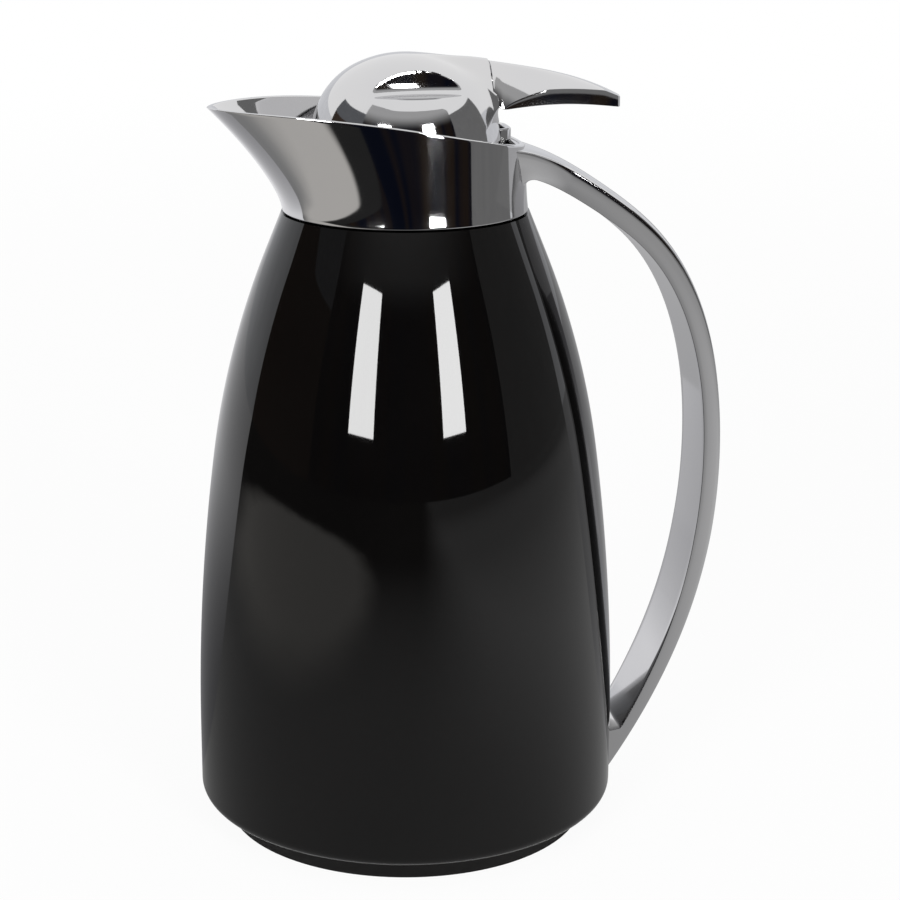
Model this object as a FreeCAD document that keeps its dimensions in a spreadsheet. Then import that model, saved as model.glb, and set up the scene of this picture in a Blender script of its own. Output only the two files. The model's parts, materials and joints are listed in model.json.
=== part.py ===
import FreeCAD, Part
import math
import operator
import os

import Sketcher
from FreeCAD import Vector

# A one litre vacuum jug: lacquered steel body, glass liner, chrome collar with spout and handle,
# and a hinged lid with a thumb lever. Millimetres; the jug's axis is Z, the floor is z = 0,
# the spout points to -X and the handle to +X.

SIZES = {
    # Body shell: straight side, two tangent arcs and a straight cone up to the collar
    "body_radius": 68.5,
    "body_height": 202.2,
    "neck_radius": 39.2,
    "shell_wall": 0.7,
    "shell_bottom": 7.2,
    "heel_radius": 4.0,
    "lip_width": 3.0,
    "straight_side": 29.0,
    "shoulder_turn": 7.9,
    "neck_slope": 22.25,
    "neck_straight": 14.0,
    # Foot
    "foot_inset": 9.1,
    "foot_width": 9.0,
    "foot_recess": 2.5,
    "base_floor": 2.5,
    "base_wall": 2.4,
    "snap_depth": 0.9,
    "snap_height": 3.2,
    "clamp_radius": 22.5,
    "clamp_flange": 3.0,
    "clamp_height": 12.5,
    "clamp_slot_length": 30.0,
    "clamp_slot_width": 4.0,
    "clamp_slot_depth": 4.0,
    "boss_wall": 3.5,
    "buffer_height": 9.3,
    "buffer_bore": 8.0,
    # Glass liner: it fills a share of the body's widening below the neck
    "liner_share": 0.59,
    "glass_wall": 1.6,
    "vacuum_gap": 4.4,
    "neck_gap": 2.0,
    "mouth_radius": 22.0,
    "liner_heel": 18.0,
    "liner_neck_room": 106.2,
    "liner_shoulder": 44.0,
    "tip_length": 6.0,
    "tip_radius": 4.0,
    "gasket_height": 2.0,
    # Pouring collar: rises are above the body, leans and lengths start from the collar's radius
    "collar_step": 0.7,
    "collar_wall": 1.8,
    "seam_gap": 0.5,
    "collar_floor": 3.5,
    "floor_rise": 9.3,
    "spigot_wall": 2.5,
    "spigot_length": 16.0,
    "nut_width": 6.5,
    "nut_height": 9.0,
    "spout_length": 23.7,
    "spout_rise": 33.8,
    "spout_flare": 1.42,
    "spout_point": 0.24,
    "rim_side_lean": 3.5,
    "rim_side_rise": 29.3,
    "rim_rear_lean": 1.0,
    "rim_rear_rise": 20.6,
    # Handle: section, flare into the collar, and points on its middle line down to the body.
    # Rises and falls of its upper end are from the collar's floor
    "handle_width": 25.0,
    "handle_flare": 30.0,
    "handle_edge": 1.1,
    "handle_thickness": 5.5,
    "handle_root_thickness": 7.8,
    "handle_foot_thickness": 3.6,
    "handle_crown": 2.0,
    "handle_root_crown": 1.0,
    "handle_root_rise": 7.8,
    "handle_bend_reach": 45.6,
    "handle_bend_rise": 2.6,
    "handle_neck_reach": 59.6,
    "handle_neck_fall": 5.7,
    "handle_shoulder_reach": 78.7,
    "handle_shoulder_fall": 21.2,
    "handle_reach": 99.75,
    "handle_reach_height": 121.8,
    "handle_heel_reach": 92.0,
    "handle_heel_height": 67.0,
    "handle_foot_height": 11.5,
    "handle_shelf_height": 25.0,
    "handle_screw_height": 19.5,
    # Hinge: rises are above the collar's floor
    "hinge_inset": 2.1,
    "hinge_rise": 13.1,
    "pin_radius": 1.25,
    "knuckle_radius": 2.5,
    "tongue_width": 14.4,
    "ear_wall": 2.4,
    "ear_reach": 3.4,
    "tower_wall": 1.8,
    "tower_corner": 5.0,
    "tower_rise": 16.7,
    # Lid: drops are below the dome's top
    "dome_room": 4.5,
    "dome_rise": 40.1,
    "dome_cap_radius": 36.0,
    "dome_cap_turn": 25.0,
    "dome_wall": 2.0,
    "scoop_bite": 11.3,
    "scoop_drop": 11.2,
    "scoop_slope": 6.0,
    "lever_seam_inset": 4.6,
    "lever_width": 19.0,
    "lever_root_drop": 3.1,
    "lever_root_depth": 11.9,
    "lever_length": 42.7,
    "lever_tip_drop": 14.6,
    "lever_tip_thickness": 3.2,
    "lever_tip_width": 13.0,
    "lever_droop": 6.6,
    "lever_curl": 3.3,
    "lever_arch": 1.8,
    "lever_hollow": 1.1,
    "lever_screw_length": 14.0,
    "carrier_thickness": 2.5,
    "post_radius": 3.2,
    "post_circle": 14.0,
    "stopper_room": 2.0,
    "stopper_taper": 5.0,
    "stopper_depth": 11.5,
    "stopper_wall": 1.6,
    "stopper_flange": 4.4,
    "seal_height": 1.5,
    # Fasteners and fits
    "screw_radius": 1.5,
    "screw_head": 2.8,
    "screw_head_height": 2.2,
    "washer_radius": 5.0,
    "washer_thickness": 1.0,
    "fit_gap": 0.2,
    "running_gap": 0.05,
    "seat_gap": 0.3,
    "hinge_gap": 0.3,
}

doc = FreeCAD.newDocument("vacuum_jug")
sheet = doc.addObject("Spreadsheet::Sheet", "dims")
for row, (alias, number) in enumerate(SIZES.items(), start=1):
    sheet.set(f"A{row}", alias)
    sheet.set(f"B{row}", str(number))
    sheet.setAlias(f"B{row}", alias)
doc.recompute()


class Size:
    """A number together with the spreadsheet formula that gives it."""

    OPERATIONS = {"+": operator.add, "-": operator.sub, "*": operator.mul, "/": operator.truediv}

    def __init__(self, value, formula=None):
        self.value = float(value)
        self.formula = formula or repr(float(value))

    def joined(self, sign, other, other_first=False):
        other = as_size(other)
        left, right = (other, self) if other_first else (self, other)
        formula = f"({left.formula} {sign} {right.formula})"
        return Size(self.OPERATIONS[sign](left.value, right.value), formula)

    def __add__(self, other):
        return self.joined("+", other)

    def __radd__(self, other):
        return self.joined("+", other, True)

    def __sub__(self, other):
        return self.joined("-", other)

    def __rsub__(self, other):
        return self.joined("-", other, True)

    def __mul__(self, other):
        return self.joined("*", other)

    def __rmul__(self, other):
        return self.joined("*", other, True)

    def __truediv__(self, other):
        return self.joined("/", other)


def as_size(number):
    return number if isinstance(number, Size) else Size(number)


def root(size):
    return Size(math.sqrt(size.value), f"sqrt({size.formula})")


def sine(degrees):
    return Size(math.sin(math.radians(degrees.value)), f"sin({degrees.formula} * 1 deg)")


def cosine(degrees):
    return Size(math.cos(math.radians(degrees.value)), f"cos({degrees.formula} * 1 deg)")


class Sheet:
    """The spreadsheet's cells by name, as sizes that carry their formula."""

    def __getattr__(self, alias):
        return Size(sheet.get(alias), f"dims.{alias}")


d = Sheet()

# Places that follow from the sizes: what sits on the body moves with it, and so does what sits in it
d.foot_radius = d.body_radius - d.foot_inset
d.liner_radius = d.neck_radius + (d.body_radius - d.neck_radius) * d.liner_share
d.liner_side = d.body_height - d.liner_neck_room
d.collar_radius = d.neck_radius - d.collar_step
d.spout_reach = d.collar_radius + d.spout_length
d.rim_half_width = d.collar_radius - d.rim_side_lean
d.rim_rear = d.collar_radius - d.rim_rear_lean
d.spout_height = d.body_height + d.spout_rise
d.rim_side_height = d.body_height + d.rim_side_rise
d.rim_rear_height = d.body_height + d.rim_rear_rise
d.floor_height = d.body_height + d.floor_rise
d.handle_root_height = d.floor_height + d.handle_root_rise
d.handle_bend_height = d.floor_height + d.handle_bend_rise
d.handle_neck_height = d.floor_height - d.handle_neck_fall
d.handle_shoulder_height = d.floor_height - d.handle_shoulder_fall
d.hinge_height = d.floor_height + d.hinge_rise
d.tower_height = d.floor_height + d.tower_rise
d.dome_height = d.floor_height + d.dome_rise
d.dome_radius = d.rim_half_width - d.dome_room
d.hinge_reach = d.dome_radius - d.hinge_inset
d.scoop_wall = d.dome_radius - d.scoop_bite
d.scoop_ledge = d.dome_height - d.scoop_drop
d.lever_seam = d.dome_radius - d.lever_seam_inset
d.lever_tip = d.lever_seam + d.lever_length
d.lever_root_top = d.dome_height - d.lever_root_drop
d.lever_root_bottom = d.lever_root_top - d.lever_root_depth
d.lever_tip_height = d.dome_height - d.lever_tip_drop
d.stopper_radius = d.mouth_radius - d.stopper_room


def origin_plane(body, role):
    return next(feature for feature in body.Origin.OriginFeatures if feature.Role == role)


def new_sketch(body, name, role):
    sketch = body.newObject("Sketcher::SketchObject", name)
    sketch.AttachmentSupport = [(origin_plane(body, role), "")]
    sketch.MapMode = "FlatFace"
    return sketch


def bind_constraint(sketch, constraint, formula):
    index = sketch.addConstraint(constraint)
    sketch.setExpression(f"Constraints[{index}]", formula)


def arc_middle(start, end, radius):
    """Middle of the shorter arc from start to end; a positive radius turns left, a negative one right."""
    chord = end - start
    half = chord.Length / 2
    rise = abs(radius) - math.sqrt(max(radius * radius - half * half, 0.0))
    outward = Vector(chord.y, -chord.x, 0).normalize()
    return (start + end) / 2 + outward * math.copysign(rise, radius)


def draw_outline(sketch, corners):
    """Closes the corners into an outline. A corner is (x, y), or (x, y, r) where an arc leads to it."""
    corners = [tuple(as_size(entry) for entry in corner) for corner in corners]
    places = [Vector(corner[0].value, corner[1].value, 0) for corner in corners]
    ends = []
    for index, corner in enumerate(corners):
        start, end = places[index - 1], places[index]
        if len(corner) == 3:
            middle = arc_middle(start, end, corner[2].value)
            edge = sketch.addGeometry(Part.Arc(start, middle, end))
            distances = [(sketch.getPoint(edge, which) - start).Length for which in (1, 2)]
            first = 1 if distances[0] < distances[1] else 2
        else:
            edge = sketch.addGeometry(Part.LineSegment(start, end))
            first = 1
        ends.append((edge, first, 3 - first))
    for index, corner in enumerate(corners):
        edge, first, last = ends[index]
        after, after_first, _ = ends[(index + 1) % len(ends)]
        sketch.addConstraint(Sketcher.Constraint("Coincident", edge, last, after, after_first))
        for kind, size in (("DistanceX", corner[0]), ("DistanceY", corner[1])):
            bind_constraint(sketch, Sketcher.Constraint(kind, -1, 1, edge, last, size.value), size.formula)
        if len(corner) == 3:
            radius = corner[2] if corner[2].value > 0 else -1 * corner[2]
            bind_constraint(sketch, Sketcher.Constraint("Radius", edge, radius.value), radius.formula)


def draw_circle(sketch, x, y, radius):
    x, y, radius = as_size(x), as_size(y), as_size(radius)
    circle = sketch.addGeometry(Part.Circle(Vector(x.value, y.value, 0), Vector(0, 0, 1), radius.value))
    bind_constraint(sketch, Sketcher.Constraint("DistanceX", -1, 1, circle, 3, x.value), x.formula)
    bind_constraint(sketch, Sketcher.Constraint("DistanceY", -1, 1, circle, 3, y.value), y.formula)
    bind_constraint(sketch, Sketcher.Constraint("Radius", circle, radius.value), radius.formula)


def turned(label, corners):
    """A piece turned about the jug's axis from corners of (radius, height)."""
    body = doc.addObject("PartDesign::Body", label)
    sketch = new_sketch(body, label + "_profile", "XZ_Plane")
    draw_outline(sketch, corners)
    revolution = body.newObject("PartDesign::Revolution", label + "_turned")
    revolution.Profile = sketch
    revolution.ReferenceAxis = (sketch, ["V_Axis"])
    revolution.Angle = 360
    return body


def pad_across(body, name, sketch, width):
    """Pads a sketch on the XZ plane evenly to both sides of it."""
    pad = body.newObject("PartDesign::Pad", name)
    pad.Profile = sketch
    pad.Midplane = True
    pad.setExpression("Length", as_size(width).formula)
    return pad


def pocket_across(body, name, sketch, width):
    """Cuts a sketch on the XZ plane evenly to both sides of it."""
    pocket = body.newObject("PartDesign::Pocket", name)
    pocket.Profile = sketch
    pocket.Midplane = True
    pocket.setExpression("Length", as_size(width).formula)
    return pocket


def casting(label, shape):
    """A free-form piece whose shape is worked out from the sheet's values."""
    feature = doc.addObject("Part::Feature", label)
    feature.Shape = shape
    feature.Placement = FreeCAD.Placement()
    return feature


def box(x_range, y_range, z_range):
    corner = Vector(x_range[0], y_range[0], z_range[0])
    lengths = [high - low for low, high in (x_range, y_range, z_range)]
    return Part.makeBox(*lengths, corner)


def cylinder(radius, start, end):
    return Part.makeCylinder(radius, (end - start).Length, start, end - start)


def smooth_ring(points):
    """A closed smooth wire through the points."""
    curve = Part.BSplineCurve()
    curve.interpolate(points, PeriodicFlag=True)
    return Part.Wire(curve.toShape())


# Body shell. The radii of the two arcs follow from the heights and radii that they join.
turn_sine, turn_cosine = sine(d.shoulder_turn), cosine(d.shoulder_turn)
neck_sine, neck_cosine = sine(d.neck_slope), cosine(d.neck_slope)
drop = d.body_radius - d.neck_radius - d.neck_straight * neck_sine
rise = d.body_height - d.straight_side - d.neck_straight * neck_cosine
side_drop, side_rise = 1 - turn_cosine, turn_sine
shoulder_drop, shoulder_rise = turn_cosine - neck_cosine, neck_sine - turn_sine
share = side_drop * shoulder_rise - shoulder_drop * side_rise
side_radius = (drop * shoulder_rise - shoulder_drop * rise) / share
shoulder_radius = (side_drop * rise - side_rise * drop) / share
shoulder_start = (d.body_radius - side_radius * side_drop, d.straight_side + side_radius * side_rise)
cone_start = (d.neck_radius + d.neck_straight * neck_sine, d.body_height - d.neck_straight * neck_cosine)
lip_radius = d.body_radius - d.heel_radius - d.lip_width
spigot_bore = d.mouth_radius + 2 * d.glass_wall + d.neck_gap + 5 * d.fit_gap
spigot_radius = spigot_bore + d.spigot_wall
flange_bore = spigot_radius + d.fit_gap
heel_top = d.shell_bottom + d.heel_radius


def inside(corner, cosine_out, sine_out):
    """The point one wall inside a corner of the outer profile."""
    return (corner[0] - d.shell_wall * cosine_out, corner[1] - d.shell_wall * sine_out)


side_outline = [
    (d.body_radius - d.heel_radius, d.shell_bottom),
    (d.body_radius, heel_top, d.heel_radius),
    (d.body_radius, d.straight_side),
    (*shoulder_start, side_radius),
    (*cone_start, shoulder_radius),
    (d.neck_radius, d.body_height),
]
shell_top_inside = d.neck_radius + (d.shell_wall * neck_sine - d.shell_wall) / neck_cosine
body_shell = turned("body_shell", [
    (lip_radius, d.shell_bottom),
    *side_outline,
    (flange_bore, d.body_height),
    (flange_bore, d.body_height - d.shell_wall),
    (shell_top_inside, d.body_height - d.shell_wall),
    inside(cone_start, neck_cosine, neck_sine),
    (*inside(shoulder_start, turn_cosine, turn_sine), -1 * (shoulder_radius - d.shell_wall)),
    (d.body_radius - d.shell_wall, d.straight_side, -1 * (side_radius - d.shell_wall)),
    (d.body_radius - d.shell_wall, heel_top),
    (d.body_radius - d.heel_radius, d.shell_bottom + d.shell_wall, -1 * (d.heel_radius - d.shell_wall)),
    (lip_radius, d.shell_bottom + d.shell_wall),
])
screw_axis = d.handle_screw_height
shell_hole = new_sketch(body_shell, "shell_screw_hole", "YZ_Plane")
draw_circle(shell_hole, 0, screw_axis, d.screw_radius + d.fit_gap)
shell_drilled = body_shell.newObject("PartDesign::Pocket", "shell_drilled")
shell_drilled.Profile = shell_hole
shell_drilled.Reversed = True
shell_drilled.setExpression("Length", (d.body_radius + d.heel_radius).formula)

# Filled form of the body, used to fit the handle's lower end against it
body_form = turned("body_form", [(0, d.shell_bottom), *side_outline, (0, d.body_height)])

# Foot: outside flange under the shell's lip, skirt through it and a snap bead above it
skirt_radius = lip_radius - d.fit_gap
bead_bottom = d.shell_bottom + d.shell_wall + d.fit_gap
skirt_top = bead_bottom + d.snap_height
floor_top = d.foot_recess + d.base_floor
boss_radius = d.clamp_radius + d.boss_wall
base_cap = turned("base_cap", [
    (d.foot_radius - d.foot_width, 0),
    (d.foot_radius, 0),
    (d.body_radius - d.heel_radius - d.fit_gap, d.shell_bottom - d.fit_gap),
    (skirt_radius, d.shell_bottom - d.fit_gap),
    (skirt_radius, bead_bottom),
    (skirt_radius + d.snap_depth, bead_bottom),
    (skirt_radius - d.snap_depth, skirt_top),
    (skirt_radius - d.base_wall, skirt_top),
    (skirt_radius - d.base_wall, floor_top),
    (boss_radius, floor_top),
    (boss_radius, floor_top + d.clamp_height / 2),
    (d.clamp_radius + d.fit_gap, floor_top + d.clamp_height / 2),
    (d.clamp_radius + d.fit_gap, d.foot_recess),
    (d.foot_radius - d.foot_width, d.foot_recess),
])

# Threaded plug in the foot with a slot for a key, and the rubber ring on it that carries the liner
plug_bottom = d.foot_recess / 2
plug_top = d.foot_recess + d.clamp_height
clamp_plug = turned("clamp_plug", [
    (0, plug_bottom),
    (d.clamp_radius + d.clamp_flange, plug_bottom),
    (d.clamp_radius + d.clamp_flange, d.foot_recess),
    (d.clamp_radius, d.foot_recess),
    (d.clamp_radius, plug_top),
    (0, plug_top),
])
slot = new_sketch(clamp_plug, "clamp_slot", "XZ_Plane")
draw_outline(slot, [
    (-0.5 * d.clamp_slot_length, 0),
    (0.5 * d.clamp_slot_length, 0),
    (0.5 * d.clamp_slot_length, plug_bottom + d.clamp_slot_depth),
    (-0.5 * d.clamp_slot_length, plug_bottom + d.clamp_slot_depth),
])
pocket_across(clamp_plug, "clamp_slotted", slot, d.clamp_slot_width)

liner_bottom = plug_top + d.buffer_height
turned("liner_buffer", [
    (d.buffer_bore, plug_top),
    (d.clamp_radius, plug_top),
    (d.clamp_radius, liner_bottom),
    (d.buffer_bore, liner_bottom),
])

# Glass liner: two bottles with a vacuum between them, which meet under the lip
glass_step = d.glass_wall + d.vacuum_gap
liner_straight = liner_bottom + d.liner_heel
liner_spring = liner_bottom + d.liner_side
shoulder_centre = d.liner_radius - d.liner_shoulder
lip_top = d.floor_height - d.collar_floor - d.gasket_height
lip_bottom = lip_top - d.glass_wall


def shoulder_end(radius, neck):
    """Height at which a shoulder arc of this radius meets a neck of that radius."""
    return liner_spring + root(radius * radius - (neck - shoulder_centre) * (neck - shoulder_centre))


def bottle_wall(inset, neck, top):
    """Outer profile of a bottle that lies inset within the liner's outside, from its heel to its top."""
    side = d.liner_radius - inset
    bend = d.liner_shoulder - inset
    return [
        (d.liner_radius - d.liner_heel, liner_bottom + inset),
        (side, liner_straight, d.liner_heel - inset),
        (side, liner_spring),
        (neck, shoulder_end(bend, neck), bend),
        (neck, top),
    ]


def bottle_inside(inset, neck, top):
    """The same profile from its top down to its heel, for the inner face of a bottle."""
    side = d.liner_radius - inset
    bend = d.liner_shoulder - inset
    return [
        (neck, top),
        (neck, shoulder_end(bend, neck)),
        (side, liner_spring, -1 * bend),
        (side, liner_straight),
        (d.liner_radius - d.liner_heel, liner_bottom + inset, -1 * (d.liner_heel - inset)),
        (0, liner_bottom + inset),
    ]


inner_neck = d.mouth_radius + d.glass_wall
outer_bore = inner_neck + d.neck_gap
outer_neck = outer_bore + d.glass_wall
turned("outer_flask", [
    (0, liner_bottom - d.tip_length),
    (d.tip_radius / 2, liner_bottom - d.tip_length),
    (d.tip_radius, liner_bottom),
    *bottle_wall(as_size(0), outer_neck, lip_bottom),
    *bottle_inside(d.glass_wall, outer_bore, lip_bottom),
])
turned("inner_flask", [
    (0, liner_bottom + glass_step),
    *bottle_wall(glass_step, inner_neck, lip_bottom),
    (outer_neck, lip_bottom),
    (outer_neck, lip_top),
    *bottle_inside(glass_step + d.glass_wall, d.mouth_radius, lip_top),
])
floor_bottom = d.floor_height - d.collar_floor
turned("neck_gasket", [
    (d.mouth_radius + d.fit_gap, lip_top),
    (outer_neck, lip_top),
    (outer_neck, floor_bottom),
    (d.mouth_radius + d.fit_gap, floor_bottom),
])
nut_top = d.body_height - d.shell_wall
turned("collar_nut", [
    (spigot_radius + d.fit_gap, nut_top - d.nut_height),
    (spigot_radius + d.nut_width, nut_top - d.nut_height),
    (spigot_radius + d.nut_width, nut_top),
    (spigot_radius + d.fit_gap, nut_top),
])

# Plain numbers for the free-form castings
v = {alias: getattr(d, alias).value for alias in (*SIZES, *vars(d))}
HALF_TURN_POINTS = 10
LOFT_SECTIONS = 6
# Where the handle's line starts, as a share of the rim's rear radius; shares of its length at which
# sections are drawn, the share over which its root thins down to the grip, and the share from which
# the grip thins to its foot
ROOT_START = 0.8
HANDLE_STATIONS = (0, 0.015, 0.03, 0.048, 0.07, 0.1, 0.16, 0.25, 0.36, 0.5, 0.65, 0.8, 0.92, 1)
SWELL_END = 0.45
THINNING_START = 0.65
# Fullness of the lid's ovals: 1 is an ellipse, less is squarer
OVAL_POWER = 0.7
# Thumb lever: shares of its length at which sections are drawn, at which the step behind the seam ends
# and at which its flanks are fully hollowed; then height of the ridge above them and width of its underside
# as shares of the section, and the points on a hollow flank
LEVER_STATIONS = (0, 0.1, 0.2, 0.3, 0.42, 0.55, 0.78, 0.93, 1)
STEP_END = 0.1
HOLLOW_END = 0.3
RIDGE_SHARE = 0.42
RIM_SHARE = 0.9
FLANK_POINTS = 3
collar_bottom = v["body_height"] + v["seam_gap"]


def collar_section(height, inset):
    """The collar's outline at one height: round to the rear, drawn out to the spout in front."""
    lift = height - v["body_height"]
    spout_share = lift / (v["spout_height"] - v["body_height"])
    front = v["collar_radius"] + (v["spout_reach"] - v["collar_radius"]) * spout_share ** v["spout_flare"]
    rear_share = lift / (v["rim_rear_height"] - v["body_height"])
    rear = v["collar_radius"] + (v["rim_rear"] - v["collar_radius"]) * rear_share
    side_share = lift / (v["rim_side_height"] - v["body_height"])
    half_width = v["collar_radius"] + (v["rim_half_width"] - v["collar_radius"]) * side_share
    power = 1 + v["spout_point"] * spout_share
    points = []
    for step in range(2 * HALF_TURN_POINTS):
        angle = math.pi * step / HALF_TURN_POINTS
        reach = rear if math.cos(angle) > 0 else front
        width = abs(math.sin(angle)) ** (1 if math.cos(angle) > 0 else power)
        y = math.copysign((half_width - inset) * width, math.sin(angle))
        points.append(Vector((reach - inset) * math.cos(angle), y, height))
    return smooth_ring(points)


def collar_loft(bottom, top, inset):
    heights = [bottom + (top - bottom) * step / (LOFT_SECTIONS - 1) for step in range(LOFT_SECTIONS)]
    return Part.makeLoft([collar_section(height, inset) for height in heights], True, False)


def rim_cylinder(margin):
    """One large cylinder across the jug whose skin passes through spout tip, side and rear of the rim."""
    tip = Vector(-v["spout_reach"], 0, v["spout_height"])
    side = Vector(0, 0, v["rim_side_height"])
    rear = Vector(v["rim_rear"], 0, v["rim_rear_height"])
    arc = Part.Arc(tip, side, rear).toShape().Curve
    start = Vector(arc.Center.x, -margin, arc.Center.z)
    return cylinder(arc.Radius, start, start + Vector(0, 2 * margin, 0))


def handle_section(place, along, half_width, thickness, crown):
    """Flat inner face with rounded edges, straight flanks and a domed outer face, square to the line."""
    outward = along.cross(Vector(0, 1, 0)).normalize()
    across = Vector(0, half_width, 0)
    flat = place - outward * (thickness / 2)
    edge = place + outward * (thickness / 2)
    top = edge + outward * crown
    aside, up = Vector(0, v["handle_edge"], 0), outward * v["handle_edge"]
    in_corner = 1 - math.sqrt(0.5)
    left, right = flat - across, flat + across
    return Part.Wire([
        Part.makeLine(left + aside, right - aside),
        Part.Arc(right - aside, right + (up - aside) * in_corner, right + up).toShape(),
        Part.makeLine(right + up, edge + across),
        Part.Arc(edge + across, top, edge - across).toShape(),
        Part.makeLine(edge - across, left + up),
        Part.Arc(left + up, left + (up + aside) * in_corner, left + aside).toShape(),
    ])


def handle_line():
    """Middle line of the handle, from inside the collar's rear wall into the body's side."""
    line = Part.BSplineCurve()
    line.interpolate([
        Vector(ROOT_START * v["rim_rear"], 0, v["handle_root_height"]),
        Vector(v["handle_bend_reach"], 0, v["handle_bend_height"]),
        Vector(v["handle_neck_reach"], 0, v["handle_neck_height"]),
        Vector(v["handle_shoulder_reach"], 0, v["handle_shoulder_height"]),
        Vector(v["handle_reach"], 0, v["handle_reach_height"]),
        Vector(v["handle_heel_reach"], 0, v["handle_heel_height"]),
        Vector(v["body_radius"] - v["handle_foot_thickness"], 0, v["handle_foot_height"]),
    ])
    return line


def handle_form():
    """The grip: thicker towards the collar, where its flanks flare out into the collar's wall."""
    line = handle_line()
    half, flare = v["handle_width"] / 2, v["handle_flare"]
    flare_start = math.sqrt((v["rim_rear"] + flare) ** 2 - (half + flare) ** 2)
    sections = []
    for station in HANDLE_STATIONS:
        parameter = line.FirstParameter + station * (line.LastParameter - line.FirstParameter)
        place = line.value(parameter)
        into_flare = max(0.0, flare_start - place.x) / flare
        spread = flare * (1 - math.sqrt(1 - into_flare ** 2))
        upright = min(1.0, 3 * spread / half)
        along = Vector(1, 0, 0) * upright + line.tangent(parameter)[0] * (1 - upright)
        swell = max(0.0, 1 - station / SWELL_END)
        thinning = max(0.0, (station - THINNING_START) / (1 - THINNING_START))
        thickness = v["handle_thickness"] + (v["handle_root_thickness"] - v["handle_thickness"]) * swell
        thickness -= (v["handle_thickness"] - v["handle_foot_thickness"]) * thinning
        crown = v["handle_crown"] + (v["handle_root_crown"] - v["handle_crown"]) * swell
        sections.append(handle_section(place, along, half + spread, thickness, crown))
    return Part.makeLoft(sections, True, False)


def handle_shelf():
    """Fills the narrow end of the gap between handle and body up to a small level shelf."""
    line = handle_line()
    low, high = v["handle_foot_height"], v["handle_shelf_height"]
    level = Part.Plane(Vector(0, 0, high), Vector(0, 0, 1))
    grip_reach = line.intersectCS(level)[0][0].X
    inner = v["body_radius"] - 2 * v["handle_thickness"]
    corners = [
        Vector(inner, -v["handle_width"] / 2, low),
        Vector(line.EndPoint.x, -v["handle_width"] / 2, low),
        Vector(grip_reach, -v["handle_width"] / 2, high),
        Vector(inner, -v["handle_width"] / 2, high),
    ]
    return Part.Face(Part.makePolygon(corners + corners[:1])).extrude(Vector(0, v["handle_width"], 0))


def rear_uprights(block, front):
    """The upright edges of a block that lie behind the given x."""
    return [edge for edge in block.Edges
            if edge.BoundBox.XMin > front and edge.BoundBox.ZLength > edge.BoundBox.YLength]


def tower_form():
    """Open-topped shroud behind the lid: two ears for the pin and a rear wall."""
    half = v["tongue_width"] / 2 + v["hinge_gap"]
    inner_rear = v["hinge_reach"] + v["knuckle_radius"] + v["hinge_gap"]
    front = v["hinge_reach"] - v["ear_reach"]
    low = v["floor_height"] - v["collar_floor"] / 2
    outer_half = half + v["ear_wall"]
    outer = box((front, inner_rear + v["tower_wall"]), (-outer_half, outer_half), (low, v["tower_height"]))
    top = v["tower_height"] + v["tower_wall"]
    inner = box((front - v["ear_wall"], inner_rear), (-half, half), (v["floor_height"], top))
    pocket = inner.makeFillet(2 * v["hinge_gap"], rear_uprights(inner, v["hinge_reach"]))
    return outer.makeFillet(v["tower_corner"], rear_uprights(outer, inner_rear)).cut(pocket)


def collar_form():
    """Spout and bowl, floor with neck hole, spigot below it, hinge tower and handle in one casting."""
    reach = 2 * v["spout_height"]
    rim = rim_cylinder(reach)
    top = v["spout_height"] + 2 * v["collar_wall"]
    outside = collar_loft(collar_bottom, top, 0.0)
    bowl = collar_loft(v["floor_height"], top + v["collar_wall"], v["collar_wall"])
    inner_bore, spigot_outside = spigot_bore.value, spigot_radius.value
    underside = v["floor_height"] - v["collar_floor"]
    seat = v["body_height"]
    cup = outside.common(rim).cut(bowl)
    skirt_inside = v["collar_radius"] - 2 * v["collar_wall"]
    below, above = seat - v["spigot_length"], v["spout_height"]
    hollow = cylinder(skirt_inside, Vector(0, 0, below), Vector(0, 0, underside))
    spigot = cylinder(spigot_outside, Vector(0, 0, below + v["nut_height"] / 2), Vector(0, 0, underside))
    bore = cylinder(inner_bore, Vector(0, 0, below), Vector(0, 0, underside))
    mouth = cylinder(v["mouth_radius"], Vector(0, 0, below), Vector(0, 0, above))
    seat_ring = cylinder(skirt_inside + v["collar_wall"], Vector(0, 0, seat), Vector(0, 0, underside))
    grip = handle_form().fuse(handle_shelf()).cut(bowl).cut(handle_clearance()).cut(hollow)
    whole = cup.cut(hollow).fuse([spigot, seat_ring.cut(hollow), grip, tower_form()]).cut(bore).cut(mouth)
    pin_start = Vector(v["hinge_reach"], -v["body_radius"], v["hinge_height"])
    pin_hole = cylinder(v["pin_radius"] + v["running_gap"] / 5, pin_start, pin_start + Vector(0, reach, 0))
    screw_start = Vector(v["body_radius"] / 2, 0, v["handle_screw_height"])
    screw_hole = cylinder(v["screw_radius"] + v["running_gap"], screw_start, handle_screw_end())
    return whole.cut(pin_hole.common(tower_form())).cut(screw_hole)


def handle_clearance():
    """The body's own form, a hair larger, so that the handle's lower end rests against the lacquer."""
    doc.recompute()
    return body_form.Shape.makeOffsetShape(v["running_gap"], 0.001)


def handle_screw_end():
    return Vector(v["body_radius"] + v["handle_thickness"] / 2, 0, v["handle_screw_height"])


casting("collar", collar_form())

# Screw and washer that hold the handle's lower end, from inside the body
washer_face = math.sqrt((v["body_radius"] - v["shell_wall"]) ** 2 - v["washer_radius"] ** 2)


def screw_form(seat, end):
    """A pan-head screw: its head sits behind the seat and its shank ends at the end point."""
    along = (end - seat).normalize()
    head = cylinder(v["screw_head"], seat - along * v["screw_head_height"], seat)
    return head.fuse(cylinder(v["screw_radius"], seat, end)).removeSplitter()


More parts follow.
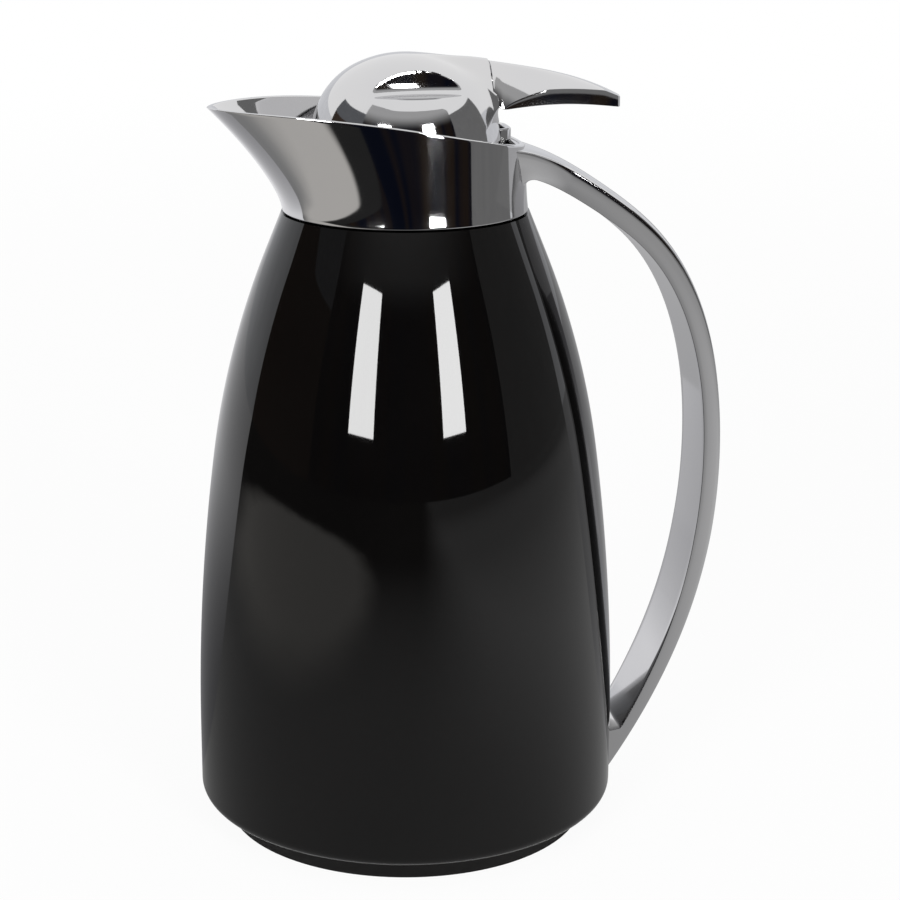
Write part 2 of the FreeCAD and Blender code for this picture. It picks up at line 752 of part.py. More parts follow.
washer_seat = Vector(washer_face - v["washer_thickness"], 0, v["handle_screw_height"])
washer = cylinder(v["washer_radius"], washer_seat, washer_seat + Vector(v["washer_thickness"], 0, 0))
shank_start = Vector(0, 0, v["handle_screw_height"])
shank_hole = cylinder(v["screw_radius"] + v["fit_gap"], shank_start, handle_screw_end())
casting("handle_washer", washer.cut(shank_hole))
casting("handle_screw", screw_form(washer_seat, handle_screw_end() - Vector(v["fit_gap"], 0, 0)))

pin_half = v["tongue_width"] / 2 + v["hinge_gap"] + v["ear_wall"] - v["fit_gap"] / 2
pin_middle = Vector(v["hinge_reach"], 0, v["hinge_height"])
pin_end = Vector(0, pin_half, 0)
casting("hinge_pin", cylinder(v["pin_radius"], pin_middle - pin_end, pin_middle + pin_end))

# Lid. Heights are stacked from the collar's floor: seal, stopper flange, carrier plate
seal_bottom = d.floor_height + d.seat_gap
flange_bottom = seal_bottom + d.seal_height
carrier_bottom = flange_bottom + d.stopper_wall
carrier_top = carrier_bottom + d.carrier_thickness
dome_inside = d.dome_radius - d.dome_wall
lid_screw_end = carrier_top.value + 3 * v["screw_radius"]


def dome_profile(inset, low):
    """Half of the dome's outline: cap, tighter shoulder and side as tangent arcs over a straight skirt."""
    turn = math.radians(v["dome_cap_turn"])
    lean, stand = math.sin(turn), math.cos(turn)
    cap = v["dome_cap_radius"]
    shoulder = (v["dome_radius"] - cap * (lean + 1 - stand)) / (stand - lean)
    top = Vector(0, 0, v["dome_height"])
    cap_centre = top - Vector(0, 0, cap)
    shoulder_middle = cap_centre + Vector(lean, 0, stand) * (cap - shoulder)
    side_centre = shoulder_middle + Vector(stand, 0, lean) * (shoulder - cap)

    def on_arc(centre, radius, degrees):
        angle = math.radians(degrees)
        return centre + Vector(math.sin(angle), 0, math.cos(angle)) * (radius - inset)

    cap_end, side_start = v["dome_cap_turn"], 90 - v["dome_cap_turn"]
    crown = on_arc(cap_centre, cap, 0)
    spring = on_arc(side_centre, cap, 90)
    cap_edge = on_arc(cap_centre, cap, cap_end)
    side_edge = on_arc(side_centre, cap, side_start)
    skirt = Vector(spring.x, 0, low)
    return Part.Wire([
        Part.makeLine(Vector(0, 0, low), skirt),
        Part.makeLine(skirt, spring),
        Part.Arc(spring, on_arc(side_centre, cap, (90 + side_start) / 2), side_edge).toShape(),
        Part.Arc(side_edge, on_arc(shoulder_middle, shoulder, 45), cap_edge).toShape(),
        Part.Arc(cap_edge, on_arc(cap_centre, cap, cap_end / 2), crown).toShape(),
        Part.makeLine(crown, Vector(0, 0, low)),
    ])


def dome_form(inset, low):
    """Solid dome with a finger scoop on each side: an upright wall over a ledge that falls outwards."""
    solid = Part.Face(dome_profile(inset, low)).revolve(Vector(), Vector(0, 0, 1), 360)
    far = 2 * v["dome_radius"]
    fall = math.tan(math.radians(v["scoop_slope"]))
    wall = v["scoop_wall"] - inset
    ledge = v["scoop_ledge"] - inset
    for side in (-1, 1):
        corners = [
            Vector(-far, side * wall, ledge),
            Vector(-far, side * far, ledge - (far - wall) * fall),
            Vector(-far, side * far, ledge + far),
            Vector(-far, side * wall, ledge + far),
        ]
        face = Part.Face(Part.makePolygon(corners + corners[:1]))
        solid = solid.cut(face.extrude(Vector(2 * far, 0, 0)))
    return solid


def oval(x, half_width, low, high):
    """An upright oval across the lid at x, flatter than an ellipse on top and below."""
    middle = (low + high) / 2
    points = []
    for step in range(2 * HALF_TURN_POINTS):
        angle = math.pi * step / HALF_TURN_POINTS
        across = math.copysign(abs(math.cos(angle)) ** OVAL_POWER, math.cos(angle))
        up = math.copysign(abs(math.sin(angle)) ** OVAL_POWER, math.sin(angle))
        points.append(Vector(x, half_width * across, middle + (high - low) / 2 * up))
    return smooth_ring(points)


def dome_tail():
    """The dome drawn out to the rear, up to the seam with the lever."""
    seam, half = v["lever_seam"], v["lever_width"] / 2
    low, high = v["lever_root_bottom"], v["lever_root_top"]
    crown = v["dome_height"] - 2 * v["fit_gap"]
    sections = []
    for share in (0.0, 0.5, 1.0):
        top = crown - (crown - high) * share ** 2
        bottom = low - (1 - share) * v["dome_wall"] * 2
        sections.append(oval(seam * share, half + (1 - share) * v["dome_wall"], bottom, top))
    return Part.makeLoft(sections, True, False)


def lever_screw_places():
    height = (v["lever_root_top"] + v["lever_root_bottom"]) / 2
    return [Vector(v["lever_seam"], side * v["lever_width"] / 5, height) for side in (-1, 1)]


# The lever's screws: their length before and behind the seam
lever_screw_grip = Vector(v["lever_screw_length"] / 3, 0, 0)
lever_screw_reach = lever_screw_grip * 2


def post_places():
    return [Vector(v["post_circle"] * math.cos(angle), v["post_circle"] * math.sin(angle), 0)
            for angle in (math.pi / 3, math.pi, 5 * math.pi / 3)]


def lid_dome_form():
    low = v["floor_height"] + 2 * v["seat_gap"]
    outside = dome_form(0.0, low)
    cavity = dome_form(v["dome_wall"], low - v["dome_wall"])
    shell = outside.fuse(dome_tail()).cut(cavity)
    ear_side = v["tongue_width"] / 2 + v["hinge_gap"] + v["ear_wall"] + v["seat_gap"]
    notch = box((v["dome_radius"] / 2, 2 * v["dome_radius"]), (-ear_side, ear_side),
                (low - v["dome_wall"], v["tower_height"] + v["ear_wall"]))
    shell = shell.cut(notch)
    up = Vector(0, 0, 1)
    for place in post_places():
        post = cylinder(v["post_radius"], place + up * carrier_top.value, place + up * v["dome_height"])
        shell = shell.fuse(post.common(cavity))
    for place in post_places():
        start = place + up * carrier_bottom.value
        end = place + up * (lid_screw_end + v["screw_head_height"])
        shell = shell.cut(cylinder(v["screw_radius"] + v["running_gap"], start, end))
    for place in lever_screw_places():
        seat = place - lever_screw_grip
        head_room = seat - Vector(v["dome_radius"] / 2, 0, 0)
        shell = shell.cut(cylinder(v["screw_head"] + v["fit_gap"], head_room, seat))
        shell = shell.cut(cylinder(v["screw_radius"] + v["fit_gap"], seat, place + lever_screw_grip))
    return shell


def lever_top(share):
    """Height of the lever's upper line from its root (0) to its tip (1): a steady droop that steepens."""
    curl = v["lever_root_top"] - v["lever_tip_height"] - v["lever_droop"]
    return v["lever_root_top"] - v["lever_droop"] * share - curl * share ** v["lever_curl"]


def lever_bottom(share):
    """Height of its lower line: a short step down from the seam, then a slight arch."""
    low = v["lever_tip_height"] - v["lever_tip_thickness"]
    step = max(0.0, 1 - share / STEP_END) ** 2
    arch = low + v["lever_arch"] * math.sin(math.pi * share)
    return arch + (v["lever_root_bottom"] - arch) * step


def lever_section(x, share, half_width):
    """An oval at the lever's root, which turns into a crowned top over hollow flanks and a flat underside."""
    low, high = lever_bottom(share), lever_top(share)
    turned_share = min(1.0, share / HOLLOW_END)
    middle = (low + high) / 2
    ridge = middle + (low + RIDGE_SHARE * (high - low) - middle) * turned_share
    rim = half_width * RIM_SHARE
    points = []
    for step in range(HALF_TURN_POINTS + 1):
        angle = math.pi * step / HALF_TURN_POINTS
        across = math.copysign(abs(math.cos(angle)) ** OVAL_POWER, math.cos(angle))
        points.append(Vector(x, half_width * across, ridge + (high - ridge) * math.sin(angle) ** OVAL_POWER))
    flank = []
    for step in range(1, HALF_TURN_POINTS // 2 + 1):
        angle = math.pi * step / HALF_TURN_POINTS
        drop = math.sin(angle) ** OVAL_POWER
        oval_point = Vector(x, half_width * math.cos(angle) ** OVAL_POWER, ridge - (ridge - low) * drop)
        down = min(1.0, step / FLANK_POINTS)
        inward = max(0.0, step - FLANK_POINTS) / (HALF_TURN_POINTS // 2 - FLANK_POINTS)
        reach = (half_width + (rim - half_width) * down) * (1 - inward)
        hollow = v["lever_hollow"] * math.sin(math.pi * down)
        facet_point = Vector(x, reach - hollow, ridge + (low - ridge) * down)
        flank.append(oval_point + (facet_point - oval_point) * turned_share)
    points += [Vector(point.x, -point.y, point.z) for point in flank]
    return smooth_ring(points + flank[-2::-1])


def lid_lever_form():
    """Thumb lever: a bar with hollow flanks that thins to a tip rounded in plan, rooted on the dome."""
    start = v["lever_seam"] + v["seam_gap"]
    length = v["lever_tip"] - start
    root_half, tip_half = v["lever_width"] / 2, v["lever_tip_width"] / 2
    sections = []
    for share in LEVER_STATIONS:
        half = root_half + (tip_half - root_half) * share ** 3
        sections.append(lever_section(start + share * length, share, half))
    bar = Part.makeLoft(sections, True, False)
    low, high = v["tower_height"], v["dome_height"]
    tip_centre = v["lever_tip"] - v["lever_tip_width"]
    plan = box((v["lever_seam"], tip_centre), (-root_half, root_half), (low, high))
    plan = plan.fuse(cylinder(v["lever_tip_width"], Vector(tip_centre, 0, low), Vector(tip_centre, 0, high)))
    quarter_height = (v["lever_root_top"] - v["lever_root_bottom"]) / 4
    middle = v["lever_root_bottom"] + 2 * quarter_height
    land = box((v["lever_seam"], start + v["dome_wall"]), (-root_half / 2, root_half / 2),
               (middle - quarter_height, middle + quarter_height))
    bar = bar.common(plan).fuse(land).cut(dome_form(-v["running_gap"], low))
    for place in lever_screw_places():
        bore_end = place + lever_screw_reach
        bar = bar.cut(cylinder(v["screw_radius"] + v["running_gap"], place - lever_screw_grip, bore_end))
    return bar


casting("lid_dome", lid_dome_form())
casting("lid_lever", lid_lever_form())
casting("lever_screws", Part.makeCompound([
    screw_form(place - lever_screw_grip, place + lever_screw_reach - Vector(v["fit_gap"], 0, 0))
    for place in lever_screw_places()]))
casting("lid_screws", Part.makeCompound([
    screw_form(place + Vector(0, 0, carrier_bottom.value), place + Vector(0, 0, lid_screw_end))
    for place in post_places()]))

# Carrier plate inside the dome, with the tongue that turns on the hinge pin
lid_carrier = turned("lid_carrier", [
    (0, carrier_bottom),
    (dome_inside - d.fit_gap, carrier_bottom),
    (dome_inside - d.fit_gap, carrier_top),
    (0, carrier_top),
])
ear_room = new_sketch(lid_carrier, "ear_room", "XZ_Plane")
ear_front = d.hinge_reach - d.ear_reach - d.hinge_gap
draw_outline(ear_room, [
    (ear_front, 0),
    (d.body_radius, 0),
    (d.body_radius, d.dome_height),
    (ear_front, d.dome_height),
])
pocket_across(lid_carrier, "ear_room_cut", ear_room, 2 * d.body_radius)
tongue = new_sketch(lid_carrier, "hinge_tongue", "XZ_Plane")
draw_outline(tongue, [
    (d.hinge_reach - 4 * d.knuckle_radius, carrier_bottom),
    (d.hinge_reach - d.knuckle_radius, carrier_bottom),
    (d.hinge_reach + d.knuckle_radius, d.hinge_height - d.knuckle_radius),
    (d.hinge_reach + d.knuckle_radius, d.hinge_height),
    (d.hinge_reach, d.hinge_height + d.knuckle_radius, d.knuckle_radius),
    (d.hinge_reach - d.knuckle_radius, d.hinge_height, d.knuckle_radius),
    (d.hinge_reach - 4 * d.knuckle_radius, carrier_top + d.carrier_thickness),
])
pad_across(lid_carrier, "tongue_pad", tongue, d.tongue_width)
knuckle_hole = new_sketch(lid_carrier, "knuckle_hole", "XZ_Plane")
draw_circle(knuckle_hole, d.hinge_reach, d.hinge_height, d.pin_radius + d.running_gap)
pocket_across(lid_carrier, "knuckle_bored", knuckle_hole, d.tongue_width + 2 * d.ear_wall)

screw_holes = new_sketch(lid_carrier, "lid_screw_holes", "XY_Plane")
for x_share, y_share in ((0.5, math.sqrt(0.75)), (-1.0, 0.0), (0.5, -math.sqrt(0.75))):
    draw_circle(screw_holes, x_share * d.post_circle, y_share * d.post_circle, d.screw_radius + d.fit_gap)
carrier_drilled = lid_carrier.newObject("PartDesign::Pocket", "carrier_drilled")
carrier_drilled.Profile = screw_holes
carrier_drilled.Reversed = True
carrier_drilled.setExpression("Length", d.dome_height.formula)

# Stopper: thin cup with a flange, foam inside it and a silicone seal under the flange
cup_low = flange_bottom - d.stopper_depth
low_radius = d.stopper_radius - d.stopper_taper
flange_radius = d.stopper_radius + d.stopper_flange
turned("stopper_cup", [
    (0, cup_low),
    (low_radius, cup_low),
    (d.stopper_radius, flange_bottom),
    (flange_radius, flange_bottom),
    (flange_radius, carrier_bottom),
    (d.stopper_radius - d.stopper_wall, carrier_bottom),
    (low_radius - d.stopper_wall, cup_low + d.stopper_wall),
    (0, cup_low + d.stopper_wall),
])
foam_top = flange_bottom - d.screw_head_height
turned("stopper_foam", [
    (0, cup_low + d.stopper_wall),
    (low_radius - d.stopper_wall - d.fit_gap, cup_low + d.stopper_wall),
    (low_radius - d.stopper_wall, foam_top),
    (0, foam_top),
])
turned("stopper_gasket", [
    (d.stopper_radius + d.fit_gap, seal_bottom),
    (flange_radius, seal_bottom),
    (flange_radius, flange_bottom),
    (d.stopper_radius + d.fit_gap, flange_bottom),
])

doc.recompute()
NOT_WRITTEN = {"body_form"}
pieces = [item for item in doc.Objects
          if item.TypeId in ("PartDesign::Body", "Part::Feature") and item.Label not in NOT_WRITTEN]
failed = [item.Label for item in doc.Objects if {"Invalid", "Error"} & set(item.State)]
failed += [item.Label for item in pieces if item.Shape.isNull() or not item.Shape.isValid()]
if failed:
    raise RuntimeError("these objects failed: " + ", ".join(failed))

os.makedirs("parts", exist_ok=True)
for item in pieces:
    item.Shape.exportStep(f"parts/{item.Label}.step")
print(len(pieces), "pieces written")
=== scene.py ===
# %% [markdown]
# This lesson dresses a vacuum jug: a black lacquered body, a chrome collar with spout and handle, and
# a chrome lid that tips up on a hinge. The imported model is loaded as a fixed frame in metres, with the
# jug's axis on Z, the spout towards -X and the handle towards +X. Every piece made here has to stay
# inside the box of that model.

# %% Load the frame
import json
import math

import bmesh
import bpy
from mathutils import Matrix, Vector
from mathutils.geometry import interpolate_bezier


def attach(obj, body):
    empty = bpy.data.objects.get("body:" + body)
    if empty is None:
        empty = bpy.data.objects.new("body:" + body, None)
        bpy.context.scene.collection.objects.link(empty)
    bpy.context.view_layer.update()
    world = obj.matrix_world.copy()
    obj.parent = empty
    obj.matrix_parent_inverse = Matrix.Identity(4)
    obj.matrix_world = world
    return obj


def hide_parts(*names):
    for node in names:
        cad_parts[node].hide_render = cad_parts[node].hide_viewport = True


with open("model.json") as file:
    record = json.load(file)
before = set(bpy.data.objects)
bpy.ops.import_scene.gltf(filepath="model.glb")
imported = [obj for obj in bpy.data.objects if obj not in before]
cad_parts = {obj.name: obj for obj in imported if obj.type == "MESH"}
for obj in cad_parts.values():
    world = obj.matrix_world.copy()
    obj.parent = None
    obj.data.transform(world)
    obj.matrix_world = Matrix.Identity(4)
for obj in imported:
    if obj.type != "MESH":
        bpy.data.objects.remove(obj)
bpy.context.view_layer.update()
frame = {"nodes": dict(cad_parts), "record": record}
print("nodes:", ", ".join(frame["nodes"]))

# %% [markdown]
# The camera comes first, because every later comparison depends on it. It stands a little above the
# lid and looks down at the jug, turned ten degrees towards the spout. The lens is long, as in product
# photography, so that the sides of the body stay nearly parallel. The sideways shift only moves the
# picture's frame, since the jug with its handle stands left of the middle.

# %% Camera
MM = 0.001
CAMERA_PLACE = (-125.4, -711.0, 332.0)
CAMERA_DOWN = 16.13
CAMERA_TURN = -10.0

lens = bpy.data.cameras.new("camera")
lens.sensor_width = 36.0
lens.lens = 92.4
lens.shift_x = 0.0497
camera = bpy.data.objects.new("camera", lens)
camera.location = Vector(CAMERA_PLACE) * MM
camera.rotation_euler = (math.radians(90 - CAMERA_DOWN), 0, math.radians(CAMERA_TURN))
bpy.context.scene.collection.objects.link(camera)
bpy.context.scene.camera = camera
bpy.context.scene.view_settings.view_transform = "Standard"
print("camera at", [round(entry, 3) for entry in camera.location])

# %% [markdown]
# A finish is a tree of shader nodes. Writing the links by hand hides the idea of a finish, so a small
# class wraps a socket and lets Python's own signs add the Math nodes. Any other node is made by one
# method, which takes the node's type, its settings and what goes into its sockets.


# %% Finishes as expressions
class Link:
    """An output socket in a node tree. Arithmetic on it adds Math nodes."""

    def __init__(self, owner, socket):
        self.owner = owner
        self.socket = socket

    def joined(self, operation, first, second):
        return self.owner.node("ShaderNodeMath", {"operation": operation}, {0: first, 1: second})

    def __add__(self, other):
        return self.joined("ADD", self, other)

    def __radd__(self, other):
        return self.joined("ADD", other, self)

    def __sub__(self, other):
        return self.joined("SUBTRACT", self, other)

    def __rsub__(self, other):
        return self.joined("SUBTRACT", other, self)

    def __mul__(self, other):
        return self.joined("MULTIPLY", self, other)

    def __rmul__(self, other):
        return self.joined("MULTIPLY", other, self)


class Nodes:
    """A node tree, in which every node is added by one method."""

    def __init__(self, tree):
        self.tree = tree

    def node(self, kind, settings, sockets, output=0):
        made = self.tree.nodes.new(kind)
        for setting, choice in settings.items():
            setattr(made, setting, choice)
        for socket, value in sockets.items():
            if isinstance(value, Link):
                self.plug(value, made.inputs[socket])
            else:
                made.inputs[socket].default_value = value
        return Link(self, made.outputs[output])

    def plug(self, link, socket):
        self.tree.links.new(link.socket, socket)


class Finish(Nodes):
    """A node material with one Principled shader, whose patterns follow Object coordinates."""

    def __init__(self, name, **constants):
        self.material = bpy.data.materials.new(name)
        self.material.use_nodes = True
        super().__init__(self.material.node_tree)
        self.shader = self.tree.nodes["Principled BSDF"]
        for socket, number in constants.items():
            self.shader.inputs[socket.replace("_", " ")].default_value = number
        self.place = self.node("ShaderNodeTexCoord", {}, {}, "Object")

    def noise(self, per_metre, detail=2.0, stretch=(1.0, 1.0, 1.0)):
        place = self.node("ShaderNodeMapping", {}, {"Vector": self.place, "Scale": stretch})
        sockets = {"Vector": place, "Scale": per_metre, "Detail": detail}
        return self.node("ShaderNodeTexNoise", {}, sockets)

    def blend(self, factor, first, second):
        colours = [side if isinstance(side, Link) else (*side, 1.0) for side in (first, second)]
        sockets = {0: factor, 6: colours[0], 7: colours[1]}
        return self.node("ShaderNodeMix", {"data_type": "RGBA"}, sockets, 2)

    def feed(self, socket, link):
        self.plug(link, self.shader.inputs[socket])

    def relief(self, height, distance):
        self.feed("Normal", self.node("ShaderNodeBump", {}, {"Height": height, "Distance": distance}))


print("finish class ready")

# %% [markdown]
# The lacquer on the body is sprayed and polished: nearly black, with a clear coat as smooth as glass.
# A sprayed coat is never perfectly even, so the surface gets a very shallow orange peel, and the
# roughness wanders a little where cloths have polished it.

# %% Black lacquer
lacquer = Finish("black_lacquer", Coat_Weight=1.0, Coat_Roughness=0.025, Coat_IOR=1.5,
                 Specular_IOR_Level=0.0)
mottle = lacquer.noise(28.0, 3.0)
lacquer.feed("Base Color", lacquer.blend(mottle, (0.0012, 0.0011, 0.0011), (0.0026, 0.0023, 0.0022)))
lacquer.feed("Roughness", 0.3 + 0.2 * lacquer.noise(60.0, 4.0))
lacquer.relief(lacquer.noise(420.0, 1.0), 0.000003)
print("made", lacquer.material.name)

# %% [markdown]
# Chrome plating copies whatever it faces. What sets real plating apart from a perfect mirror is small:
# a slow waviness left by polishing the casting, and faint handling haze that spreads the highlights.

# %% Chrome
chrome = Finish("chrome_plating", Metallic=1.0)
haze = chrome.noise(35.0, 4.0)
chrome.feed("Base Color", chrome.blend(haze, (0.62, 0.62, 0.635), (0.68, 0.675, 0.675)))
chrome.feed("Roughness", 0.03 + 0.05 * chrome.noise(90.0, 5.0))
chrome.relief(chrome.noise(30.0, 1.0), 0.00003)
print("made", chrome.material.name)

# %% [markdown]
# Pieces that stay as they come from the model get finishes of their own too: moulded plastic for the
# foot and the carrier inside the lid, steel for fasteners, silvered glass for the liner, rubber for the
# seals and foam in the stopper.

# %% Inner finishes


def moulded(name, dark, light, roughness, grain, shine=0.5):
    finish = Finish(name, Specular_IOR_Level=shine)
    finish.feed("Base Color", finish.blend(finish.noise(45.0, 3.0), dark, light))
    finish.feed("Roughness", roughness + 0.12 * finish.noise(160.0, 4.0))
    finish.relief(finish.noise(grain, 2.0), 0.00002)
    return finish.material


def metal(name, dark, light, roughness, stretch):
    finish = Finish(name, Metallic=1.0)
    streaks = finish.noise(220.0, 3.0, stretch)
    finish.feed("Base Color", finish.blend(streaks, dark, light))
    finish.feed("Roughness", roughness + 0.15 * streaks)
    return finish.material


slot_finishes = {
    "foot": moulded("foot_plastic", (0.005, 0.005, 0.005), (0.009, 0.008, 0.008), 0.55, 900.0, 0.08),
    "inner_plastic": moulded("carrier_plastic", (0.070, 0.070, 0.074), (0.090, 0.090, 0.095), 0.32, 700.0),
    "seal": moulded("rubber_seal", (0.042, 0.042, 0.042), (0.058, 0.058, 0.057), 0.55, 500.0),
    "foam": moulded("stopper_foam_fill", (0.62, 0.60, 0.55), (0.72, 0.70, 0.65), 0.75, 1400.0),
    "steel": metal("bright_steel", (0.50, 0.50, 0.50), (0.62, 0.62, 0.61), 0.18, (1.0, 1.0, 6.0)),
    "silvered_glass": metal("silvered_glass_wall", (0.72, 0.72, 0.73), (0.80, 0.80, 0.80), 0.03,
                            (1.0, 1.0, 0.3)),
    "chrome": chrome.material,
    "lacquer": lacquer.material,
}
print("finishes:", ", ".join(slot_finishes))

# %% [markdown]
# Shapes are drawn in millimetres and scaled to metres at the end, which keeps the numbers readable.
# A finished piece gets clean outward normals, smooth shading up to a sharp angle, its finish and the body
# that carries it, and the model's pieces that it stands for are hidden.

# %% Finishing a piece
SAME_PLACE = 0.0005


def finish_piece(name, bm, slot, body, stands_for=(), sharp=50.0):
    bmesh.ops.remove_doubles(bm, verts=bm.verts, dist=SAME_PLACE)
    bmesh.ops.recalc_face_normals(bm, faces=bm.faces)
    bmesh.ops.scale(bm, vec=(MM, MM, MM), verts=bm.verts)
    mesh = bpy.data.meshes.new(name)
    bm.to_mesh(mesh)
    bm.free()
    mesh.shade_smooth()
    mesh.set_sharp_from_angle(angle=math.radians(sharp))
    mesh.materials.append(slot_finishes[slot])
    piece = bpy.data.objects.new(name, mesh)
    bpy.context.scene.collection.objects.link(piece)
    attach(piece, body)
    if stands_for:
        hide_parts(*stands_for)
    print(name, "has", len(mesh.polygons), "faces")
    return piece


print("points within", SAME_PLACE, "mm of each other become one")

# %% [markdown]
# The body is turned from sheet steel, so its form is one line spun about the axis. The line starts at
# the rolled lip under the heel, climbs a short straight side, and leans in over two tangent arcs to a
# straight cone at the neck. Both arcs are given as a radius and the lean they end with. An arc is drawn
# by spinning the line's last point about the arc's centre, which keeps every join tangent.

# %% Body
BODY_RADIUS = 68.5
NECK_RADIUS = 39.2
BODY_TOP = 202.2
HEEL = 4.0
LIP_HEIGHT = 7.2
LIP_WIDTH = 3.0
SIDE_END = 29.0
SIDE_ARC = (696.057, 7.9)
SHOULDER_ARC = (267.712, 22.25)
FLANGE_BORE = 32.0
SHELL_WALL = 1.0
HEEL_STEPS = 10
SIDE_STEPS = 24
TURN_STEPS = 192


def verts_of(parts):
    return [part for part in parts if isinstance(part, bmesh.types.BMVert)]


def line_to(bm, vert, radius, height):
    end = bmesh.ops.extrude_vert_indiv(bm, verts=[vert])["verts"][0]
    end.co = (radius, 0, height)
    return end


def arc_to(bm, vert, centre, degrees, steps):
    swept = bmesh.ops.spin(bm, geom=[vert], cent=(centre[0], 0, centre[1]), axis=(0, -1, 0),
                           angle=math.radians(degrees), steps=steps, use_merge=False)
    return verts_of(swept["geom_last"])[0]


bm = bmesh.new()
tip = bm.verts.new((BODY_RADIUS - HEEL - LIP_WIDTH, 0, LIP_HEIGHT))
tip = line_to(bm, tip, BODY_RADIUS - HEEL, LIP_HEIGHT)
tip = arc_to(bm, tip, (BODY_RADIUS - HEEL, LIP_HEIGHT + HEEL), 90, HEEL_STEPS)
tip = line_to(bm, tip, BODY_RADIUS, SIDE_END)
tip = arc_to(bm, tip, (BODY_RADIUS - SIDE_ARC[0], SIDE_END), SIDE_ARC[1], SIDE_STEPS)
lean = math.radians(SIDE_ARC[1])
shoulder_x = tip.co.x - SHOULDER_ARC[0] * math.cos(lean)
shoulder_z = tip.co.z - SHOULDER_ARC[0] * math.sin(lean)
tip = arc_to(bm, tip, (shoulder_x, shoulder_z), SHOULDER_ARC[1] - SIDE_ARC[1], SIDE_STEPS)
tip = line_to(bm, tip, NECK_RADIUS, BODY_TOP)
line_to(bm, tip, FLANGE_BORE, BODY_TOP)
bmesh.ops.spin(bm, geom=bm.verts[:] + bm.edges[:], cent=(0, 0, 0), axis=(0, 0, 1),
               angle=2 * math.pi, steps=TURN_STEPS, use_merge=True)
bmesh.ops.recalc_face_normals(bm, faces=bm.faces)
bmesh.ops.solidify(bm, geom=bm.faces[:], thickness=SHELL_WALL)
finish_piece("body_lacquer", bm, "lacquer", "jug", ["body_shell"])

# %% [markdown]
# The collar is a casting that starts round on the body and is drawn out to a pouring lip in front. Its
# outline is written as a formula first: a round plan that narrows slowly to the rear and reaches out
# faster and faster to the front. The rim is one long curve from the tip down to the rear.

# %% Collar outline
COLLAR_RADIUS = 38.5
SPOUT_REACH = 62.2
SPOUT_RISE = 33.8
SPOUT_POWER = 1.42
SPOUT_PINCH = 0.24
RIM_HALF_WIDTH = 35.0
RIM_SIDE_RISE = 29.3
RIM_REAR = 37.5
RIM_REAR_RISE = 20.6
RIM_MIDDLE = 231.5
RIM_SLOPE = 0.172
RIM_SAG = 0.0016
RIM_TRIES = 12
TOE = 0.3
TOE_HEIGHT = 7.0


def collar_point(angle, height, inset):
    """A point of the collar's outline at one height, moved in by the inset."""
    lift = height - BODY_TOP
    inset = inset - TOE * max(0.0, 1 - lift / TOE_HEIGHT) ** 2
    spout = lift / SPOUT_RISE
    reach = COLLAR_RADIUS + (RIM_REAR - COLLAR_RADIUS) * lift / RIM_REAR_RISE
    power = 1.0
    if math.cos(angle) < 0:
        reach = COLLAR_RADIUS + (SPOUT_REACH - COLLAR_RADIUS) * spout ** SPOUT_POWER
        power = 1 + SPOUT_PINCH * spout
    half = COLLAR_RADIUS + (RIM_HALF_WIDTH - COLLAR_RADIUS) * lift / RIM_SIDE_RISE
    across = math.copysign(abs(math.sin(angle)) ** power, math.sin(angle))
    return Vector(((reach - inset) * math.cos(angle), (half - inset) * across, height))


def rim_height(x):
    return RIM_MIDDLE - RIM_SLOPE * x - RIM_SAG * x * x


def rim_point(angle, inset):
    point = collar_point(angle, RIM_MIDDLE, inset)
    for _ in range(RIM_TRIES):
        point = collar_point(angle, rim_height(point.x), inset)
    return point


print("rim from", round(rim_point(math.pi, 0).z, 1), "mm at the tip to", round(rim_point(0, 0).z, 1), "mm")

# %% [markdown]
# Free shapes like the collar, the handle and the lever are grown from one closed ring of points. The
# ring is extruded, and the new ring is laid on the outline that belongs to its place. These helpers do
# that, so the faces between two rings always come from the extrusion.

# %% Rings


def ring_edges(bm, ring):
    return [bm.edges.get((ring[index - 1], ring[index])) for index in range(len(ring))]


def next_ring(bm, ring, points):
    """Extrudes a closed ring, and lays the new one on the given points in the same order."""
    made = bmesh.ops.extrude_edge_only(bm, edges=ring_edges(bm, ring))["geom"]
    fresh = set(verts_of(made))
    following = []
    for vert, point in zip(ring, points):
        risen = next(side.other_vert(vert) for side in vert.link_edges if side.other_vert(vert) in fresh)
        risen.co = point
        following.append(risen)
    return following


def first_ring(bm, points):
    ring = bmesh.ops.create_circle(bm, segments=len(points), radius=1.0)["verts"]
    for vert, point in zip(ring, points):
        vert.co = point
    return ring


def bar(bm, outlines):
    """A bar through a row of outlines, closed at both ends. Gives back its rings."""
    rings = [first_ring(bm, outlines[0])]
    for outline in outlines[1:]:
        rings.append(next_ring(bm, rings[-1], outline))
    bmesh.ops.contextual_create(bm, geom=rings[0])
    bmesh.ops.contextual_create(bm, geom=rings[-1])
    return rings


print("ring helpers ready")

# %% [markdown]
# Now the collar grows level by level, and every point of the ring climbs to its own end height on the
# rim. The ring then turns over the rim, goes down again for the inner wall, runs in to the mouth over
# the liner and comes back underneath to where it started.

# %% Collar
COLLAR_BOTTOM = 202.7
COLLAR_WALL = 1.8
FLOOR_HEIGHT = 211.5
FLOOR_THICKNESS = 3.5
MOUTH_RADIUS = 22.0
RIM_ROUND = 0.4
RING_POINTS = 240
OUTER_LEVELS = 30
INNER_LEVELS = 16
turn_angles = [2 * math.pi * step / RING_POINTS for step in range(RING_POINTS)]


def collar_level(start_height, inset, share):
    """One ring of a wall, at a share of the way from a height to the rim."""
    points = []
    for angle in turn_angles:
        rim = rim_point(angle, inset).z
        points.append(collar_point(angle, start_height + (rim - start_height) * share, inset))
    return points


def circle(radius, height):
    return [Vector((radius * math.cos(angle), radius * math.sin(angle), height)) for angle in turn_angles]


